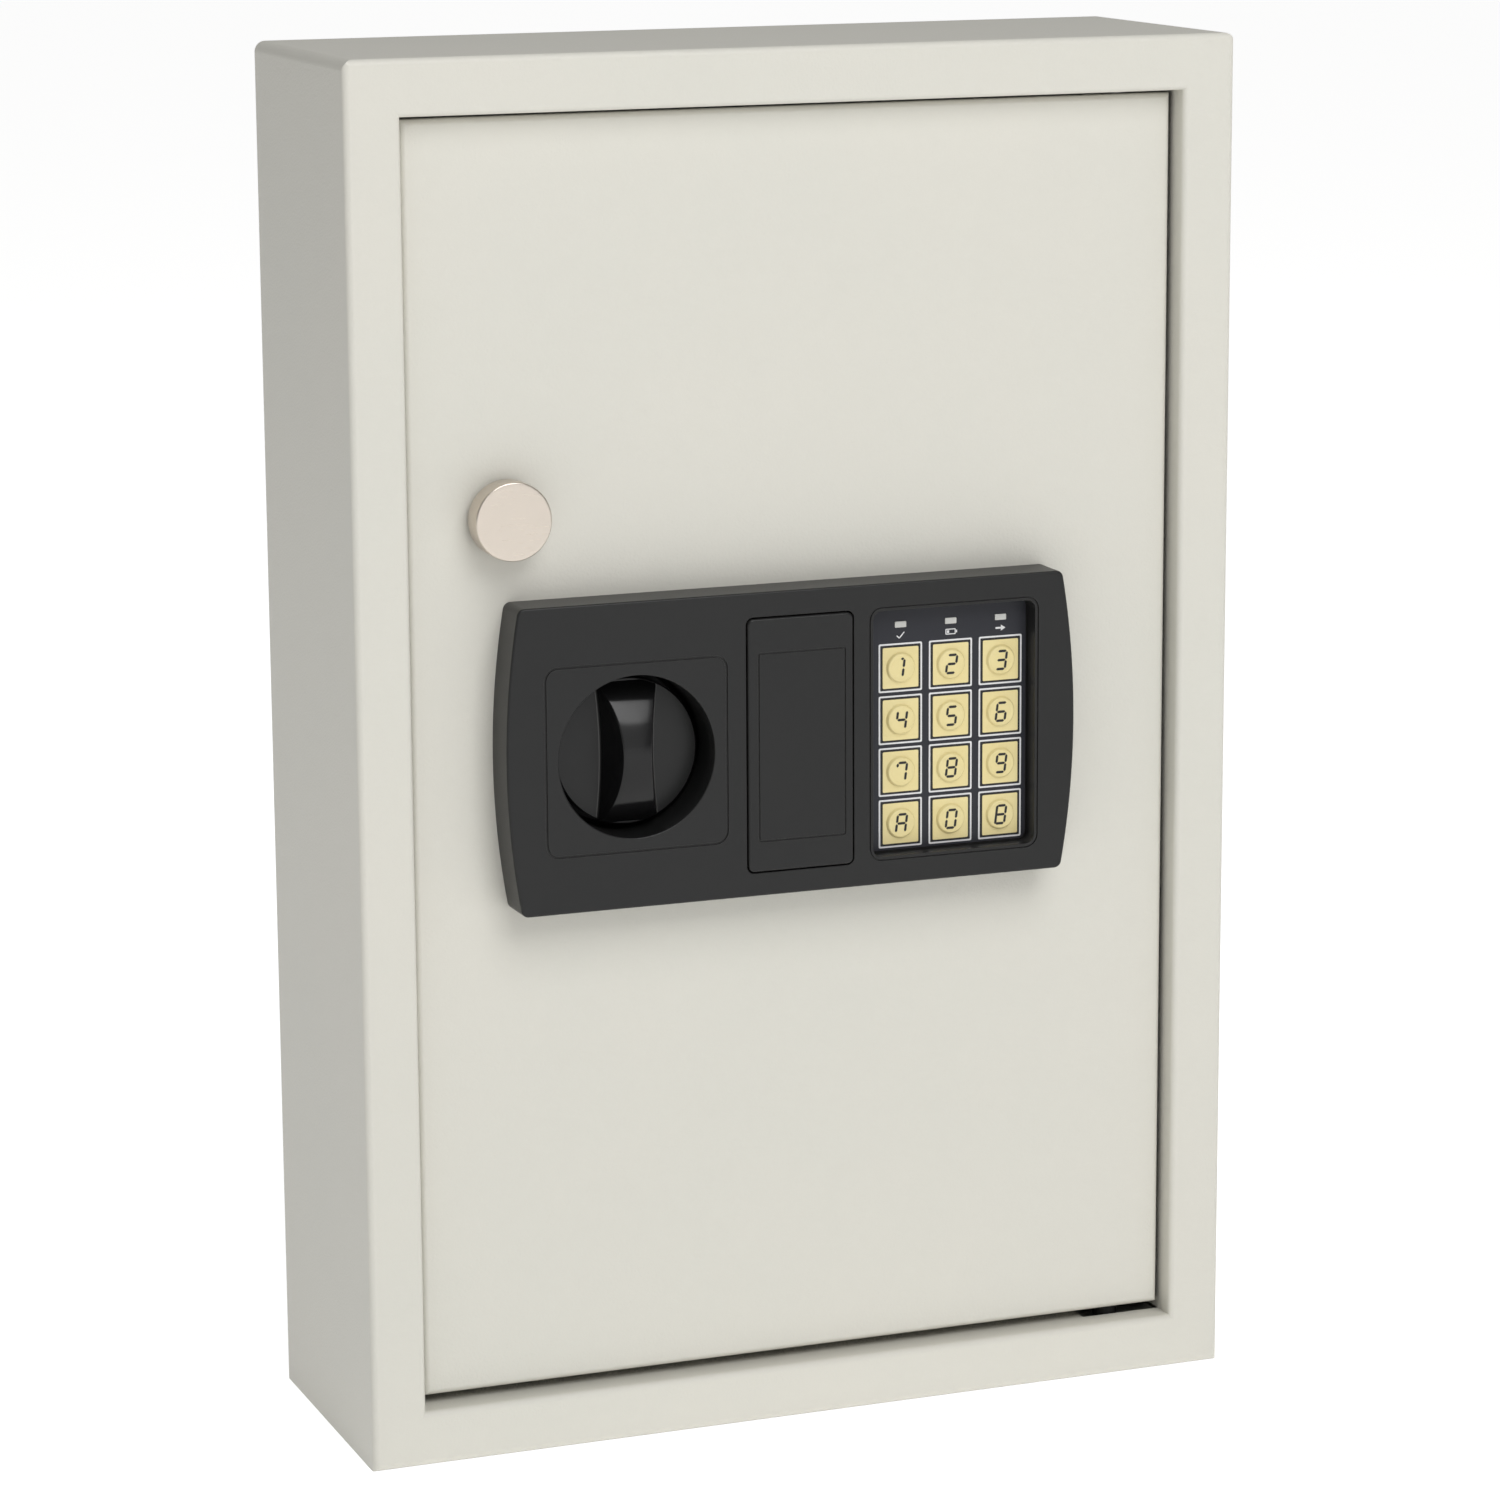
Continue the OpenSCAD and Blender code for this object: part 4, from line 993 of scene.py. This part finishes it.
def makeStripNumbers(look):
    low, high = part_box("number_strips")
    middle = (low.x + high.x) / 2
    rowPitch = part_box("key_rack_2")[0].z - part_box("key_rack_1")[0].z
    stripTall = (high.z - low.z) - rowPitch * (look["rows"] - 1)
    bm = bmesh.new()
    for row in range(look["rows"]):
        # the top row is numbered first
        z = high.z - stripTall / 2 - rowPitch * row
        for place in range(look["hooks"]):
            number = str(row * look["hooks"] + place + 1)
            x = middle + (place - (look["hooks"] - 1) / 2) * look["pitch"]
            x -= (len(number) - 1) * look["signPitch"] / 2
            for k, sign in enumerate(number):
                addSign(bm, sign, (x + k * look["signPitch"], z), low.y - look["proud"], signLook,
                        look["size"])
    piece = finishMesh("stripNumbers", bm, paint["printBlack"])
    return addPiece(piece, "cabinet", "film_slate")


makeStripNumbers(stripLook)
print("spring and numbers made")


# the floor glows evenly, and a little more where it is seen directly, so that it stays pale
stageLook = {
    "floor": colour(0.90, 0.90, 0.89), "floorPatch": colour(0.885, 0.885, 0.875), "reach": 9,
    "floorGlow": 0.44, "floorSeen": 0.3, "worldLight": 0.25,
    "lights": [
        {"name": "frontSoftbox", "at": (0.3, -2.7, 0.9), "size": 1.8, "power": 6.5},
        {"name": "highSoftbox", "at": (0.2, -1.7, 1.95), "size": 1.45, "power": 27},
        {"name": "topSoftbox", "at": (0.0, 0.3, 2.2), "size": 1.2, "power": 3.6},
        {"name": "leftFill", "at": (-2.5, -0.7, 0.7), "size": 1.5, "power": 0.8}],
    "aim": (0, 0, 0.23)}


def makeStage(look):
    bm = bmesh.new()
    reach = look["reach"]
    addSlab(bm, [(-reach, -0.02), (reach, -0.02), (reach, 0), (-reach, 0)], -reach, reach)
    floorPaper, tree, shader = startMaterial("floorPaper", 0.8)
    mottle = placeGroup(tree, "mottle", Base=look["floor"], Other=look["floorPatch"], Amount=0.4)
    tree.links.new(mottle.outputs["Color"], shader.inputs["Base Color"])
    shader.inputs["Emission Color"].default_value = colour(1, 1, 1)
    seen = tree.nodes.new("ShaderNodeLightPath")
    glow = addMath(tree, "MULTIPLY", seen.outputs["Is Camera Ray"], look["floorSeen"])
    tree.links.new(addMath(tree, "ADD", glow, look["floorGlow"]), shader.inputs["Emission Strength"])
    finishMesh("floor", bm, floorPaper)
    world = bpy.data.worlds.new("studio")
    world.use_nodes = True
    tree = world.node_tree
    rays = tree.nodes.new("ShaderNodeLightPath")
    ambient = tree.nodes["Background"]
    ambient.inputs["Color"].default_value = colour(1, 1, 1)
    ambient.inputs["Strength"].default_value = look["worldLight"]
    backdrop = addNode(tree, "ShaderNodeBackground", {"Color": colour(1, 1, 1), "Strength": 1.0})
    chosen = tree.nodes.new("ShaderNodeMixShader")
    tree.links.new(rays.outputs["Is Camera Ray"], chosen.inputs["Fac"])
    tree.links.new(ambient.outputs["Background"], chosen.inputs[1])
    tree.links.new(backdrop.outputs["Background"], chosen.inputs[2])
    tree.links.new(chosen.outputs["Shader"], tree.nodes["World Output"].inputs["Surface"])
    bpy.context.scene.world = world
    bpy.context.scene.view_settings.view_transform = "Standard"
    for light in look["lights"]:
        lamp = bpy.data.lights.new(light["name"], "AREA")
        lamp.size, lamp.energy = light["size"], light["power"]
        holder = bpy.data.objects.new(light["name"], lamp)
        holder.location = light["at"]
        aim = Vector(look["aim"]) - Vector(light["at"])
        holder.rotation_euler = aim.to_track_quat("-Z", "Y").to_euler()
        bpy.context.scene.collection.objects.link(holder)


cameraLook = {
    "at": (-0.5738, -1.5003, 0.5509), "turn": 20.917, "down": 11.80, "roll": -0.341,
    "lens": 118.73, "sensor": 36, "farLimit": 50}


def makeCamera(look):
    camera = bpy.data.objects.new("camera", bpy.data.cameras.new("camera"))
    turn, down, roll = (math.radians(look[k]) for k in ("turn", "down", "roll"))
    level = math.cos(down)
    ahead = Vector((math.sin(turn) * level, math.cos(turn) * level, -math.sin(down)))
    across = Vector((math.cos(turn), -math.sin(turn), 0))
    up = across.cross(ahead)
    right = across * math.cos(roll) + up * math.sin(roll)
    above = up * math.cos(roll) - across * math.sin(roll)
    camera.matrix_world = Matrix((
        (right.x, above.x, -ahead.x, look["at"][0]), (right.y, above.y, -ahead.y, look["at"][1]),
        (right.z, above.z, -ahead.z, look["at"][2]), (0, 0, 0, 1)))
    camera.data.lens, camera.data.sensor_width = look["lens"], look["sensor"]
    camera.data.clip_end = look["farLimit"]
    bpy.context.scene.collection.objects.link(camera)
    bpy.context.scene.camera = camera


makeStage(stageLook)
makeCamera(cameraLook)
print("stage and camera set")
